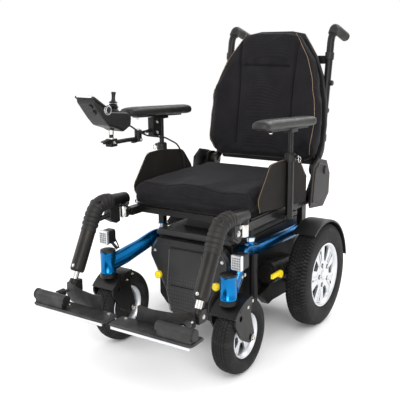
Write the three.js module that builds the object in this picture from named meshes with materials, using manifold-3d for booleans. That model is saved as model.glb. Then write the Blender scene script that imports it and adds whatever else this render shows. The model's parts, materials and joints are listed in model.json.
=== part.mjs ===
// A power wheelchair with rear drive wheels, front casters, a reclining backrest, height-adjustable
// armrests, a swing-away joystick and swing-away elevating legrests.
// Millimetres, +Z up. The user sits facing -Y, so the user's left is +X. The ground is Z = 0.
// Inside the chair group the rear axle is at Y = 0; the group then moves so that the whole chair is
// centred on Y = 0.

import * as THREE from "three";
import { mergeVertices } from "three/addons/utils/BufferGeometryUtils.js";
import Module from "manifold-3d";

const wasm = await Module();
wasm.setup();

// ---------------------------------------------------------------- driving dimensions
const GAP = 0.4; // clearance between separate pieces that touch
const AXLE_Y = 216; // rear axle, measured from the middle of the chair's length

const DRIVE_RADIUS = 176; // 14 in drive wheel
const DRIVE_WIDTH = 76;
const DRIVE_TRACK = 260; // half of the distance between the drive wheels' middles
const DRIVE_RIM = 108;

const CASTER_RADIUS = 115; // 9 in caster
const CASTER_WIDTH = 65;
const CASTER_RIM = 67;
const CASTER_X = 220.5;
const CASTER_Y = -516; // swivel axis
const CASTER_TRAIL = 60;
const BARREL_BOTTOM = 242;
const BARREL_TOP = 312;

const BOX_HALF = 140; // battery box
const BOX_FRONT = -356;
const BOX_REAR = 120;
const BOX_BOTTOM = 105;
const BOX_TOP = 344;

const RAIL_X = 205; // seat rails
const RAIL_Z = 424;
const RAIL_SIZE = 25;
const SEAT_FRONT = -398;
const SEAT_REAR = 48;
const SEAT_HALF = 207;
const SEAT_FRONT_HALF = 216; // ahead of the recline plates
const SEAT_TOP = 520;
const PAN_TOP = 442;

const GUARD_X = 228;
const GUARD_THICK = 6;
const POST_X = 245;
const POST_Y = -188;
const SOCKET_TOP = 615;

const BACK_TILT = THREE.MathUtils.degToRad(9);
const BACK_PIVOT = [92, 520]; // Y and Z of the recline axis
const CANE_X = 200;
const RECLINE_PLATE_X = 213.5;

const HANGER_X = 220; // swing axis of a legrest
const HANGER_Y = -434;
const KNEE = [-560, 474]; // Y and Z of the elevation axis
const LEG_SLOPE = THREE.MathUtils.degToRad(62.4); // below the horizontal
const LEG_LENGTH = 212; // knee axis to the end of the outer tube
const PLATE_AXIS_Z = 240;

// ---------------------------------------------------------------- materials
const paint = (color, roughness, metalness = 0) =>
  new THREE.MeshStandardMaterial({ color, roughness, metalness });
const BLUE = [0x0f5fc0, 0.3, 0.7];
const BLACK_METAL = [0x1b1b1d, 0.45, 0.6];
const BLACK_PLASTIC = [0x1d1d1f, 0.6];
const RUBBER = [0x1a1a1a, 0.9];
const ALLOY = [0xc9cbd0, 0.3, 0.9];
const GREY_PLASTIC = [0x4c4d50, 0.6];
const YELLOW = [0xf2d400, 0.5];
const FABRIC = [0x2b292b, 0.95];
const PAD_FOAM = [0x232325, 0.8];
const LENS = [0xe8eef2, 0.1];
const CABLE = [0x111111, 0.7];
const BATTERY = [0x303338, 0.6];

// ---------------------------------------------------------------- solids
const solidOf = (geometry) => {
  const bare = geometry.index ? geometry.toNonIndexed() : geometry.clone();
  bare.deleteAttribute("normal");
  bare.deleteAttribute("uv");
  const merged = mergeVertices(bare, 1e-3);
  return new wasm.Manifold(
    new wasm.Mesh({
      numProp: 3,
      vertProperties: merged.attributes.position.array,
      triVerts: new Uint32Array(merged.index.array),
    }),
  );
};

const geometryOf = (solid) => {
  const mesh = solid.getMesh();
  const geometry = new THREE.BufferGeometry();
  geometry.setAttribute("position", new THREE.BufferAttribute(mesh.vertProperties, 3));
  geometry.setIndex(new THREE.BufferAttribute(mesh.triVerts, 1));
  return geometry;
};

const join = (...pieces) =>
  geometryOf(pieces.map(solidOf).reduce((whole, piece) => whole.add(piece)));

const cut = (body, ...tools) =>
  geometryOf(tools.map(solidOf).reduce((rest, tool) => rest.subtract(tool), solidOf(body)));

const meet = (...pieces) =>
  geometryOf(pieces.map(solidOf).reduce((whole, piece) => whole.intersect(piece)));

const at = (geometry, x, y, z) => geometry.translate(x, y, z);

const block = (width, depth, height, x, y, z) =>
  at(new THREE.BoxGeometry(width, depth, height), x, y, z);

// A box given by its low and high limits along each axis.
const span = ([x0, x1], [y0, y1], [z0, z1]) =>
  block(x1 - x0, y1 - y0, z1 - z0, (x0 + x1) / 2, (y0 + y1) / 2, (z0 + z1) / 2);

const rod = (from, to, radius, sides = 10, endRadius = radius) => {
  const start = new THREE.Vector3(...from);
  const end = new THREE.Vector3(...to);
  const axis = end.clone().sub(start);
  const geometry = new THREE.CylinderGeometry(endRadius, radius, axis.length(), sides);
  const turn = new THREE.Quaternion().setFromUnitVectors(
    new THREE.Vector3(0, 1, 0),
    axis.clone().normalize(),
  );
  geometry.applyQuaternion(turn);
  const middle = start.add(end).multiplyScalar(0.5);
  return at(geometry, middle.x, middle.y, middle.z);
};

// The radius of a many-sided bore in which a many-sided shaft can turn freely.
const boreRadius = (shaft, sides) => (shaft + GAP) / Math.cos(Math.PI / sides);

// A closed outline whose corners are rounded to the given radius.
const outline = (corners, radius) => {
  const shape = new THREE.Shape();
  const count = corners.length;
  corners.forEach((corner, i) => {
    const here = new THREE.Vector2(...corner);
    const before = new THREE.Vector2(...corners[(i + count - 1) % count]);
    const after = new THREE.Vector2(...corners[(i + 1) % count]);
    const reach = Math.min(radius, here.distanceTo(before) / 2.05, here.distanceTo(after) / 2.05);
    const enter = here.clone().add(before.sub(here).setLength(reach));
    const leave = here.clone().add(after.sub(here).setLength(reach));
    if (i === 0) shape.moveTo(enter.x, enter.y);
    else shape.lineTo(enter.x, enter.y);
    if (reach > 0.5) shape.quadraticCurveTo(here.x, here.y, leave.x, leave.y);
  });
  return shape;
};

// A bevel needs sharp corners, or rounded ones of at least three times its size.
const bevelled = (corners, radius, bevel) =>
  outline(corners, radius && Math.max(radius, 3 * bevel));

const slab = (shape, thickness, bevel = 0, curveSegments = 2) => {
  const geometry = new THREE.ExtrudeGeometry(shape, {
    depth: thickness - 2 * bevel,
    bevelEnabled: bevel > 0,
    bevelThickness: bevel,
    bevelSize: bevel,
    bevelOffset: -bevel,
    bevelSegments: 1,
    curveSegments,
    steps: 1,
  });
  return geometry.translate(0, 0, bevel);
};

// A plate drawn in (Y, Z) that spans X from x0 to x1.
const sidePlate = (corners, x0, x1, radius = 8, bevel = 0) => {
  const geometry = slab(bevelled(corners, radius, bevel), x1 - x0, bevel);
  geometry.rotateX(Math.PI / 2);
  geometry.rotateZ(Math.PI / 2);
  return at(geometry, x0, 0, 0);
};

// A plate drawn in (X, Z) that spans Y from y0 to y1.
const frontPlate = (corners, y0, y1, radius = 8, bevel = 0) => {
  const geometry = slab(bevelled(corners, radius, bevel), y1 - y0, bevel);
  geometry.rotateX(Math.PI / 2);
  return at(geometry, 0, y1, 0);
};

// A plate drawn in (X, Y) that spans Z from z0 to z1.
const floorPlate = (corners, z0, z1, radius = 8, bevel = 0) =>
  at(slab(bevelled(corners, radius, bevel), z1 - z0, bevel), 0, 0, z0);

// A route through given points whose corners are rounded: one extrusion step for each point.
class Route extends THREE.Curve {
  constructor(corners, bend = 0, bendSteps = 3) {
    super();
    this.stops = [];
    corners.forEach((corner, i) => {
      const here = new THREE.Vector3(...corner);
      if (i === 0 || i === corners.length - 1 || !bend) {
        this.stops.push(here);
        return;
      }
      const back = new THREE.Vector3(...corners[i - 1]).sub(here);
      const ahead = new THREE.Vector3(...corners[i + 1]).sub(here);
      const reach = Math.min(bend, back.length() / 2.1, ahead.length() / 2.1);
      const curve = new THREE.QuadraticBezierCurve3(
        here.clone().add(back.setLength(reach)),
        here,
        here.clone().add(ahead.setLength(reach)),
      );
      this.stops.push(...curve.getPoints(bendSteps));
    });
  }

  get steps() {
    return this.stops.length - 1;
  }

  getPoint(t, target = new THREE.Vector3()) {
    const place = t * this.steps;
    const i = Math.min(Math.floor(place), this.steps - 1);
    return target.lerpVectors(this.stops[i], this.stops[i + 1], place - i);
  }

  getPointAt(t, target) {
    return this.getPoint(t, target);
  }

  getTangentAt(t, target = new THREE.Vector3()) {
    const i = Math.round(t * this.steps);
    const before = this.stops[Math.max(i - 1, 0)];
    const after = this.stops[Math.min(i + 1, this.steps)];
    const here = this.stops[i];
    const into = here.clone().sub(before).normalize();
    const out = after.clone().sub(here).normalize();
    return target.copy(into).add(out).normalize();
  }
}

const sweep = (route, section) =>
  new THREE.ExtrudeGeometry(section, {
    steps: route.steps,
    extrudePath: route,
    bevelEnabled: false,
    curveSegments: 3,
  });

const circleSection = (radius, sides) => {
  const shape = new THREE.Shape();
  for (let i = 0; i < sides; i += 1) {
    const angle = (2 * Math.PI * i) / sides;
    const point = [radius * Math.cos(angle), radius * Math.sin(angle)];
    if (i === 0) shape.moveTo(...point);
    else shape.lineTo(...point);
  }
  return shape;
};

const pipe = (corners, radius, bend = 0, sides = 12, bendSteps = 3) =>
  sweep(new Route(corners, bend, bendSteps), circleSection(radius, sides));

// A solid of revolution about X. The profile is a list of [radius, x].
const turned = (profile, segments, x, y, z) => {
  const points = profile.map(([radius, along]) => new THREE.Vector2(radius, along));
  const geometry = new THREE.LatheGeometry(points, segments);
  geometry.rotateZ(-Math.PI / 2);
  return at(geometry, x, y, z);
};

// A solid of revolution about Y that grows towards -Y.
const turnedAlongY = (profile, segments, x, y, z) => {
  const points = profile.map(([radius, along]) => new THREE.Vector2(radius, along));
  const geometry = new THREE.LatheGeometry(points, segments);
  geometry.rotateX(Math.PI);
  return at(geometry, x, y, z);
};

// A solid of revolution about Z at the origin.
const turnedUpward = (profile, segments) => {
  const points = profile.map(([radius, z]) => new THREE.Vector2(radius, z));
  const geometry = new THREE.LatheGeometry(points, segments);
  return geometry.rotateX(Math.PI / 2);
};

// A side plate on the user's left, or its mirror image on the right.
const sidePlateMirrored = (corners, x0, x1, radius, mirror) =>
  mirror > 0 ? sidePlate(corners, x0, x1, radius) : sidePlate(corners, -x1, -x0, radius);

// A ring sector around an X axis, between two radii and two angles (0 = rearward, 90 = up).
const arcBand = (inner, outer, fromDeg, toDeg, x0, x1, y, z, steps = 12) => {
  const shape = new THREE.Shape();
  const point = (radius, i) => {
    const angle = THREE.MathUtils.degToRad(fromDeg + ((toDeg - fromDeg) * i) / steps);
    return [y + radius * Math.cos(angle), z + radius * Math.sin(angle)];
  };
  for (let i = 0; i <= steps; i += 1) {
    if (i === 0) shape.moveTo(...point(outer, i));
    else shape.lineTo(...point(outer, i));
  }
  for (let i = steps; i >= 0; i -= 1) shape.lineTo(...point(inner, i));
  const geometry = slab(shape, x1 - x0);
  geometry.rotateX(Math.PI / 2);
  geometry.rotateZ(Math.PI / 2);
  return at(geometry, x0, 0, 0);
};

// ---------------------------------------------------------------- scene helpers
const chair = new THREE.Group();
chair.position.y = AXLE_Y;
const sides = { left: new THREE.Group(), right: new THREE.Group() };
sides.right.scale.x = -1;
chair.add(sides.left, sides.right);

const place = (name, geometry, look, group = chair) => {
  const mesh = new THREE.Mesh(geometry, paint(...look));
  mesh.name = name;
  group.add(mesh);
};

const placePair = (name, geometry, look) => {
  place(name + "_left", geometry, look, sides.left);
  place(name + "_right", geometry.clone(), look, sides.right);
};

// ---------------------------------------------------------------- drive wheels
const TREAD_SEGMENTS = 60;
const TREAD_DEPTH = 4.5;

// Shoulder and crown rows carry blocks: every third rib of a row drops into a groove,
// and the two halves of the tread are staggered.
const cutTreadBlocks = (geometry, rowPhases, rowCount) => {
  const position = geometry.attributes.position;
  for (let i = 0; i <= TREAD_SEGMENTS; i += 1) {
    for (let row = 0; row < rowCount; row += 1) {
      const phase = rowPhases[row];
      if (phase === undefined || (i + phase) % 3 !== 1) continue;
      const k = i * rowCount + row;
      const radius = Math.hypot(position.getY(k), position.getZ(k));
      const scale = (radius - TREAD_DEPTH) / radius;
      position.setY(k, position.getY(k) * scale);
      position.setZ(k, position.getZ(k) * scale);
    }
  }
};

const driveTyre = () => {
  const half = DRIVE_WIDTH / 2;
  const bead = DRIVE_RIM + GAP;
  const profile = [
    [bead, -30],
    [bead + 26, -half],
    [DRIVE_RADIUS - 14, -half + 2],
    [DRIVE_RADIUS - 1, -half + 17],
    [DRIVE_RADIUS, -4],
    [DRIVE_RADIUS - TREAD_DEPTH, 0],
    [DRIVE_RADIUS, 4],
    [DRIVE_RADIUS - 1, half - 17],
    [DRIVE_RADIUS - 14, half - 2],
    [bead + 26, half],
    [bead, 30],
    [bead, -30],
  ];
  const geometry = turned(profile, TREAD_SEGMENTS, 0, 0, 0);
  const phases = { 3: 0, 4: 0, 6: 2, 7: 2 };
  cutTreadBlocks(geometry, phases, profile.length);
  return at(geometry, DRIVE_TRACK, 0, DRIVE_RADIUS);
};

const petals = (count, innerRadius, outerRadius, innerHalf, outerHalf, phase = 0) => {
  const holes = [];
  for (let i = 0; i < count; i += 1) {
    const turn = (2 * Math.PI * (i + phase)) / count;
    const corner = (radius, half) => {
      const angle = turn + half / radius;
      return [radius * Math.cos(angle), radius * Math.sin(angle)];
    };
    holes.push(
      outline(
        [
          corner(innerRadius, -innerHalf),
          corner(outerRadius, -outerHalf),
          corner(outerRadius + 4, 0),
          corner(outerRadius, outerHalf),
          corner(innerRadius, innerHalf),
        ],
        0,
      ),
    );
  }
  return holes;
};

// A disc about X with windows through it.
const spokedDisc = (radius, holes, x0, x1, segments) => {
  const shape = circleSection(radius, segments);
  shape.holes = holes;
  const geometry = slab(shape, x1 - x0, 0, 1);
  geometry.rotateX(Math.PI / 2);
  geometry.rotateZ(Math.PI / 2);
  return at(geometry, x0, 0, 0);
};

const lugBolts = (count, circle, radius, x0, x1) => {
  const bolts = [];
  for (let i = 0; i < count; i += 1) {
    const angle = (2 * Math.PI * i) / count;
    const y = circle * Math.cos(angle);
    const z = circle * Math.sin(angle);
    bolts.push(rod([x0, y, z], [x1, y, z], radius, 6));
  }
  return bolts;
};

const driveRim = () => {
  const barrel = turned(
    [
      [DRIVE_RIM, -30],
      [DRIVE_RIM, 30],
      [DRIVE_RIM - 6, 34],
      [DRIVE_RIM - 14, 18],
      [DRIVE_RIM - 14, -18],
      [DRIVE_RIM - 6, -34],
      [DRIVE_RIM, -30],
    ],
    24,
    0,
    0,
    0,
  );
  const face = spokedDisc(DRIVE_RIM - 11, petals(5, 43, 88, 12, 27), 16, 26, 24);
  const hub = rod([-20, 0, 0], [30, 0, 0], 38, 16);
  const cap = rod([29, 0, 0], [36, 0, 0], 20, 12, 16);
  const bolts = lugBolts(5, 29, 5, 29, 35);
  return at(join(barrel, face, hub, cap, ...bolts), DRIVE_TRACK, 0, DRIVE_RADIUS);
};

const fender = () => {
  const inner = DRIVE_TRACK - DRIVE_WIDTH / 2 - 4;
  const outer = DRIVE_TRACK + DRIVE_WIDTH / 2 - 2;
  const radius = DRIVE_RADIUS + 8;
  const band = arcBand(radius, radius + 5, 8, 122, inner, outer, 0, DRIVE_RADIUS, 14);
  const skirt = arcBand(radius - 20, radius + 3, 20, 118, inner, inner + 3, 0, DRIVE_RADIUS, 12);
  const bracket = span([inner - 4, inner + 12], [-40, 20], [345, radius + DRIVE_RADIUS + 2]);
  return join(band, skirt, bracket);
};

placePair("drive_tyre", driveTyre(), RUBBER);
placePair("drive_rim", driveRim(), ALLOY);
placePair("rear_fender", fender(), BLACK_PLASTIC);

// ---------------------------------------------------------------- casters
const CASTER_AXLE_Y = CASTER_Y + CASTER_TRAIL;

const casterTyre = () => {
  const half = CASTER_WIDTH / 2;
  const bead = CASTER_RIM + GAP;
  const profile = [
    [bead, -20],
    [bead + 16, -half],
    [CASTER_RADIUS - 12, -half + 2],
    [CASTER_RADIUS, -12],
    [CASTER_RADIUS, 12],
    [CASTER_RADIUS - 12, half - 2],
    [bead + 16, half],
    [bead, 20],
    [bead, -20],
  ];
  return turned(profile, 30, CASTER_X, CASTER_AXLE_Y, CASTER_RADIUS);
};

const CASTER_AXLE_RADIUS = 6;

const casterRim = () => {
  const barrel = turned(
    [
      [CASTER_RIM, -20],
      [CASTER_RIM, 20],
      [CASTER_RIM - 5, 24],
      [CASTER_RIM - 11, 12],
      [CASTER_RIM - 11, -12],
      [CASTER_RIM - 5, -24],
      [CASTER_RIM, -20],
    ],
    24,
    0,
    0,
    0,
  );
  const face = spokedDisc(CASTER_RIM - 9, petals(5, 28, 44, 6, 11), 2, 9, 24);
  const hub = rod([-26, 0, 0], [26, 0, 0], 17, 12);
  const bore = rod([-40, 0, 0], [40, 0, 0], CASTER_AXLE_RADIUS + GAP, 10);
  const wheel = cut(join(barrel, face, hub), bore);
  return at(wheel, CASTER_X, CASTER_AXLE_Y, CASTER_RADIUS);
};

const STEM_RADIUS = 9;

const casterFork = () => {
  const inside = CASTER_WIDTH / 2 + 4;
  const outside = inside + 6;
  const z = CASTER_RADIUS;
  const arch = [CASTER_RADIUS + 5, CASTER_RADIUS + 11];
  const pieces = [
    arcBand(...arch, 88, 138, CASTER_X - outside, CASTER_X + outside, CASTER_AXLE_Y, z, 8),
    rod([CASTER_X, CASTER_Y, 229], [CASTER_X, CASTER_Y, BARREL_BOTTOM - GAP], 27, 14),
    rod([CASTER_X, CASTER_Y, 230], [CASTER_X, CASTER_Y, BARREL_TOP + 6], STEM_RADIUS, 10),
    rod([CASTER_X - outside - 4, CASTER_AXLE_Y, z], [CASTER_X + outside + 4, CASTER_AXLE_Y, z],
      CASTER_AXLE_RADIUS, 10),
  ];
  const leg = [
    [CASTER_AXLE_Y + 2, z + 122],
    [CASTER_AXLE_Y - 34, z + 117],
    [CASTER_AXLE_Y - 90, z + 84],
    [CASTER_AXLE_Y - 92, z + 64],
    [CASTER_AXLE_Y - 58, z + 14],
    [CASTER_AXLE_Y - 12, z - 14],
    [CASTER_AXLE_Y + 12, z - 12],
    [CASTER_AXLE_Y + 16, z + 10],
    [CASTER_AXLE_Y - 6, z + 76],
  ];
  const hole = { y: CASTER_AXLE_Y - 62, z: z + 78, radius: 9 };
  const lightening = rod([0, hole.y, hole.z], [400, hole.y, hole.z], hole.radius, 8);
  for (const [x0, x1] of [[-outside, -inside], [inside, outside]]) {
    const plate = sidePlate(leg, CASTER_X + x0, CASTER_X + x1, 12);
    pieces.push(cut(plate, lightening));
  }
  return join(...pieces);
};

placePair("caster_tyre", casterTyre(), RUBBER);
placePair("caster_rim", casterRim(), ALLOY);
placePair("caster_fork", casterFork(), BLACK_METAL);

// ---------------------------------------------------------------- chassis
const FRAME_TUBE = 20;
const ARM_TUBE = 26;
const BEAM_X = 166;
const BEAM_Z = 306;
const SHOULDER_Y = -298;
const SHOULDER_TOP = 366;

// An arm climbs inwards from the caster's barrel to a shoulder, and a beam runs back from there.
const chassisSide = (mirror) => {
  const x = (value) => mirror * value;
  return [
    rod([x(CASTER_X), CASTER_Y, BARREL_BOTTOM], [x(CASTER_X), CASTER_Y, BARREL_TOP], 25, 16),
    pipe([[x(CASTER_X), CASTER_Y + 6, 271], [x(206), -462, 281], [x(181), -382, 311]], ARM_TUBE, 30, 12, 2),
    pipe(
      [
        [x(190), -412, 302],
        [x(BEAM_X), -336, 332],
        [x(BEAM_X), -262, 316],
        [x(BEAM_X), 130, BEAM_Z],
      ],
      FRAME_TUBE,
      30,
      10,
      2,
    ),
    rod([x(BEAM_X), SHOULDER_Y, 320], [x(BEAM_X), SHOULDER_Y, SHOULDER_TOP], 14, 12),
    rod([x(BEAM_X), -270, 316], [x(BEAM_X), -270, 90], 13, 8),
    rod([x(BEAM_X), 112, BEAM_Z], [x(BEAM_X), 112, 90], 13, 8),
  ];
};

const chassis = () => {
  const crossbars = [
    rod([-178, -270, 90], [178, -270, 90], 12, 8),
    rod([-178, 112, 90], [178, 112, 90], 12, 8),
  ];
  const body = join(...chassisSide(1), ...chassisSide(-1), ...crossbars);
  const bores = [1, -1].map((mirror) =>
    rod([mirror * CASTER_X, CASTER_Y, 200], [mirror * CASTER_X, CASTER_Y, 340],
      boreRadius(STEM_RADIUS, 10), 10),
  );
  return cut(body, ...bores);
};

const batteryBox = () => {
  const outer = [[-BOX_HALF, BOX_BOTTOM + 34], [-BOX_HALF + 30, BOX_BOTTOM],
    [BOX_HALF - 30, BOX_BOTTOM], [BOX_HALF, BOX_BOTTOM + 34], [BOX_HALF, BOX_TOP],
    [-BOX_HALF, BOX_TOP]];
  const shell = frontPlate(outer, BOX_FRONT, BOX_REAR, 6);
  const wall = 4;
  const hollow = span(
    [-BOX_HALF + wall, BOX_HALF - wall],
    [BOX_FRONT + wall, BOX_REAR - wall],
    [BOX_BOTTOM + 38, BOX_TOP + 10],
  );
  return cut(shell, hollow);
};

const battery = (y0, y1) => {
  const half = 125;
  const bottom = BOX_BOTTOM + 38 + GAP;
  const body = span([-half, half], [y0, y1], [bottom, 322]);
  const terminals = [-90, 90].map((x) =>
    rod([x, (y0 + y1) / 2, 320], [x, (y0 + y1) / 2, 334], 9, 10),
  );
  return join(body, ...terminals);
};

const topCover = () => {
  const profile = [
    [-BOX_HALF - 4, BOX_TOP + GAP],
    [BOX_HALF + 4, BOX_TOP + GAP],
    [BOX_HALF - 8, BOX_TOP + 22],
    [-BOX_HALF + 8, BOX_TOP + 22],
  ];
  const lid = frontPlate(profile, BOX_FRONT - 14, BOX_REAR + 4, 8, 3);
  const hump = frontPlate(
    [[-92, BOX_TOP + 8], [92, BOX_TOP + 8], [70, BOX_TOP + 46], [-70, BOX_TOP + 46]],
    BOX_FRONT + 60,
    BOX_REAR - 80,
    10,
    4,
  );
  return join(lid, hump);
};

const frontShroud = () => {
  const face = [
    [-76, 98], [76, 98], [84, 165], [150, 282], [146, 310], [122, 340],
    [-122, 340], [-146, 310], [-150, 282], [-84, 165],
  ];
  const base = frontPlate(face, -396, BOX_FRONT - GAP, 0, 8);
  const centre = frontPlate(
    [[-62, 116], [62, 116], [78, 172], [64, 318], [-64, 318], [-78, 172]],
    -408,
    -380,
    0,
    5,
  );
  const chin = frontPlate([[-56, 96], [56, 96], [62, 122], [-62, 122]], -404, -380, 0, 3);
  const groove = frontPlate([[-58, 196], [58, 196], [58, 201], [-58, 201]], -420, -404, 1);
  return cut(join(base, centre, chin), groove);
};

place("chassis_frame", chassis(), BLUE);
place("battery_box", batteryBox(), BLACK_PLASTIC);
place("battery_front", battery(-340, -180), BATTERY);
place("battery_rear", battery(-60, 100), BATTERY);
place("top_cover", topCover(), GREY_PLASTIC);
place("front_shroud", frontShroud(), BLACK_PLASTIC);

const tieDownKnob = () =>
  turnedAlongY([[0, 0], [12, 0], [13, 4], [13, 12], [9, 15], [0, 15]], 10, 109, -396 - GAP, 222);

placePair("tie_down_knob", tieDownKnob(), YELLOW);

// ---------------------------------------------------------------- motors
const MOTOR_X = 180;
const MOTOR_RADIUS = 36;

const gearMotor = () => {
  const box = sidePlate([[-58, 140], [52, 128], [58, 214], [-50, 232]], 146, 206, 16, 4);
  const tray = sidePlate(
    [[-236, 152], [-176, 102], [-150, 108], [52, 98], [56, 190], [-60, 200]], 146, 172, 6, 2);
  const can = rod([MOTOR_X, -50, 205], [MOTOR_X, -205, 222], MOTOR_RADIUS, 16);
  const cap = rod([MOTOR_X, -200, 221.5], [MOTOR_X, -216, 223.2], 27, 12);
  const shaft = rod([204, 0, DRIVE_RADIUS], [DRIVE_TRACK - 20 - GAP, 0, DRIVE_RADIUS], 16, 14);
  return join(box, tray, can, cap, shaft);
};

const freewheelLever = () => {
  const x0 = MOTOR_X + MOTOR_RADIUS + GAP;
  const disc = rod([x0, -192, 222], [x0 + 9, -192, 222], 12, 12);
  const handle = span([x0 + 1, x0 + 9], [-252, -192], [222, 236]);
  return join(disc, handle);
};

placePair("gear_motor", gearMotor(), BLACK_METAL);
placePair("freewheel_lever", freewheelLever(), YELLOW);

// ---------------------------------------------------------------- headlights
const LAMP = { x: 243, y: -490, z: 350 };

const lampHousing = () => {
  const { x, y, z } = LAMP;
  const body = frontPlate(
    [[x - 17, z - 22], [x + 17, z - 22], [x + 17, z + 22], [x - 17, z + 22]],
    y - 14,
    y + 22,
    7,
    2,
  );
  const stalk = rod([x - 8, y + 8, z - 18], [x - 26, y + 16, 309], 5, 8);
  return join(body, stalk);
};

const lampLens = () => {
  const { x, y, z } = LAMP;
  return frontPlate(
    [[x - 15, z - 20], [x + 15, z - 20], [x + 15, z + 20], [x - 15, z + 20]],
    y - 22,
    y - 14 - GAP,
    6,
    2,
  );
};

const lampLead = () => {
  const { x, y, z } = LAMP;
  return pipe(
    [
      [x + 6, y + 22 + GAP, z],
      [x + 6, y + 29, z],
      [x + 5, y + 38, z - 8],
      [x, y + 40, z - 22],
      [x - 12, y + 36, z - 36],
      [x - 20, y + 30, z - 42],
    ],
    2.5,
    5,
    8,
    1,
  );
};

placePair("headlight", lampHousing(), ALLOY);
placePair("headlight_lens", lampLens(), LENS);
placePair("headlight_lead", lampLead(), CABLE);

// ---------------------------------------------------------------- seat frame
const seatSide = (mirror) => {
  const x = (value) => mirror * value;
  const between = (a, b) => (mirror > 0 ? [a, b] : [-b, -a]);
  const half = RAIL_SIZE / 2;
  const railBottom = RAIL_Z - half;
  const railTop = RAIL_Z + half;
  return [
    span(between(RAIL_X - half, RAIL_X + half), [-424, 112], [railBottom, railTop]),
    rod([x(HANGER_X), HANGER_Y, 406], [x(HANGER_X), HANGER_Y, 444], 14, 12),
    span(between(196, 220), [-440, -415], [414, 434]),
    span(between(BEAM_X - 10, BEAM_X + 10), [SHOULDER_Y - 10, SHOULDER_Y + 10],
      [SHOULDER_TOP + GAP, PAN_TOP - 4]),
    span(between(BEAM_X - 10, BEAM_X + 10), [60, 92], [BEAM_Z + FRAME_TUBE + 1.5, PAN_TOP - 4]),
    rod([x(POST_X), POST_Y, 408], [x(POST_X), POST_Y, SOCKET_TOP - 16], 12.5, 10),
    rod([x(POST_X), POST_Y, SOCKET_TOP - 20], [x(POST_X), POST_Y, SOCKET_TOP], 15, 10),
    rod([x(POST_X + 6), POST_Y, SOCKET_TOP - 9], [x(POST_X + 26), POST_Y, SOCKET_TOP - 9], 5, 10),
    span(between(210, POST_X), [POST_Y - 26, POST_Y + 60], [410, 422]),
    sidePlateMirrored(
      [[-28, 414], [110, 414], [128, 470], [118, 548], [66, 556], [40, 500]],
      RECLINE_PLATE_X, RECLINE_PLATE_X + 6, 14, mirror),
    sidePlateMirrored(
      [[-20, 405], [90, 392], [138, 430], [142, 500], [112, 550], [40, 566], [0, 540]],
      232, 238, 22, mirror),
    rod([x(215), BACK_PIVOT[0], BACK_PIVOT[1]], [x(241), BACK_PIVOT[0], BACK_PIVOT[1]], 12, 10),
    span(between(216, 234), [30, 60], [414, 440]),
  ];
};

const POST_RADIUS = 8;

const seatFrame = () => {
  const crossbars = [-370, -150, 80].map((y) =>
    span([-RAIL_X, RAIL_X], [y - 10, y + 10], [RAIL_Z - 10, RAIL_Z + 10]),
  );
  const pan = span([-RAIL_X - 8, RAIL_X + 8], [-372, 84], [RAIL_Z + 10, PAN_TOP]);
  const body = join(...seatSide(1), ...seatSide(-1), ...crossbars, pan);
  const bores = [1, -1].map((mirror) =>
    rod([mirror * POST_X, POST_Y, 440], [mirror * POST_X, POST_Y, SOCKET_TOP + 5],
      boreRadius(POST_RADIUS, 12), 12),
  );
  return cut(body, ...bores);
};

const seatCushion = () => {
  const plan = [
    [-SEAT_HALF, SEAT_REAR], [-SEAT_HALF, -44], [-SEAT_FRONT_HALF, -64],
    [-SEAT_FRONT_HALF, SEAT_FRONT], [SEAT_FRONT_HALF, SEAT_FRONT], [SEAT_FRONT_HALF, -64],
    [SEAT_HALF, -44], [SEAT_HALF, SEAT_REAR],
  ];
  return floorPlate(plan, PAN_TOP + GAP, SEAT_TOP, 0, 10);
};

place("seat_frame", seatFrame(), BLACK_METAL);
place("seat_cushion", seatCushion(), FABRIC);

const sideGuard = () =>
  sidePlate(
    [[-369, 494], [-292, 592], [-213, 595], [-88, 580], [-32, 514], [-32, 430], [-354, 458]],
    GUARD_X - GUARD_THICK / 2,
    GUARD_X + GUARD_THICK / 2,
    14,
  );

placePair("side_guard", sideGuard(), BLACK_PLASTIC);

// ---------------------------------------------------------------- armrests
const PAD = { front: -392, rear: -32, half: 29, thick: 26 };

// Tilts a piece drawn about the pad's underside, then lifts it to its height.
const tiltPad = (geometry, padUnder, slope) => {
  geometry.translate(-POST_X, -POST_Y, 0);
  geometry.rotateX(-slope);
  geometry.translate(POST_X, POST_Y, padUnder);
  return geometry;
};

// The user's right pad stands higher because its post is pulled out further.
const armPost = (lift, slope) => {
  const padUnder = 694 + lift;
  const post = rod([POST_X, POST_Y, 500], [POST_X, POST_Y, padUnder - 6], POST_RADIUS, 12);
  const saddle = span([POST_X - 14, POST_X + 14], [POST_Y - 22, POST_Y + 22], [padUnder - 14,
    padUnder - 2]);
  const bar = span([POST_X - 10, POST_X + 10], [PAD.front + 60, PAD.rear - 50], [-6, 0]);
  tiltPad(bar, padUnder, slope);
  return join(post, saddle, bar);
};

const armPad = (lift, slope) => {
  const corners = [
    [POST_X - 4 - PAD.half, PAD.front],
    [POST_X - 4 + PAD.half, PAD.front],
    [POST_X - 4 + PAD.half, PAD.rear],
    [POST_X - 4 - PAD.half, PAD.rear],
  ];
  const pad = floorPlate(corners, GAP, PAD.thick, 16, 6);
  return tiltPad(pad, 694 + lift, slope);
};

const ARM_LIFT = { left: 0, right: 18 };
const ARM_SLOPE = THREE.MathUtils.degToRad(2.5);
for (const side of ["left", "right"]) {
  place("arm_post_" + side, armPost(ARM_LIFT[side], ARM_SLOPE), BLACK_METAL, sides[side]);
  place("arm_pad_" + side, armPad(ARM_LIFT[side], ARM_SLOPE), PAD_FOAM, sides[side]);
}

// ---------------------------------------------------------------- backrest
// Drawn upright with the recline axis at the origin, then leaned back.
const leanBack = (geometry) => {
  geometry.rotateX(-BACK_TILT);
  return geometry.translate(0, BACK_PIVOT[0], BACK_PIVOT[1]);
};

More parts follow.
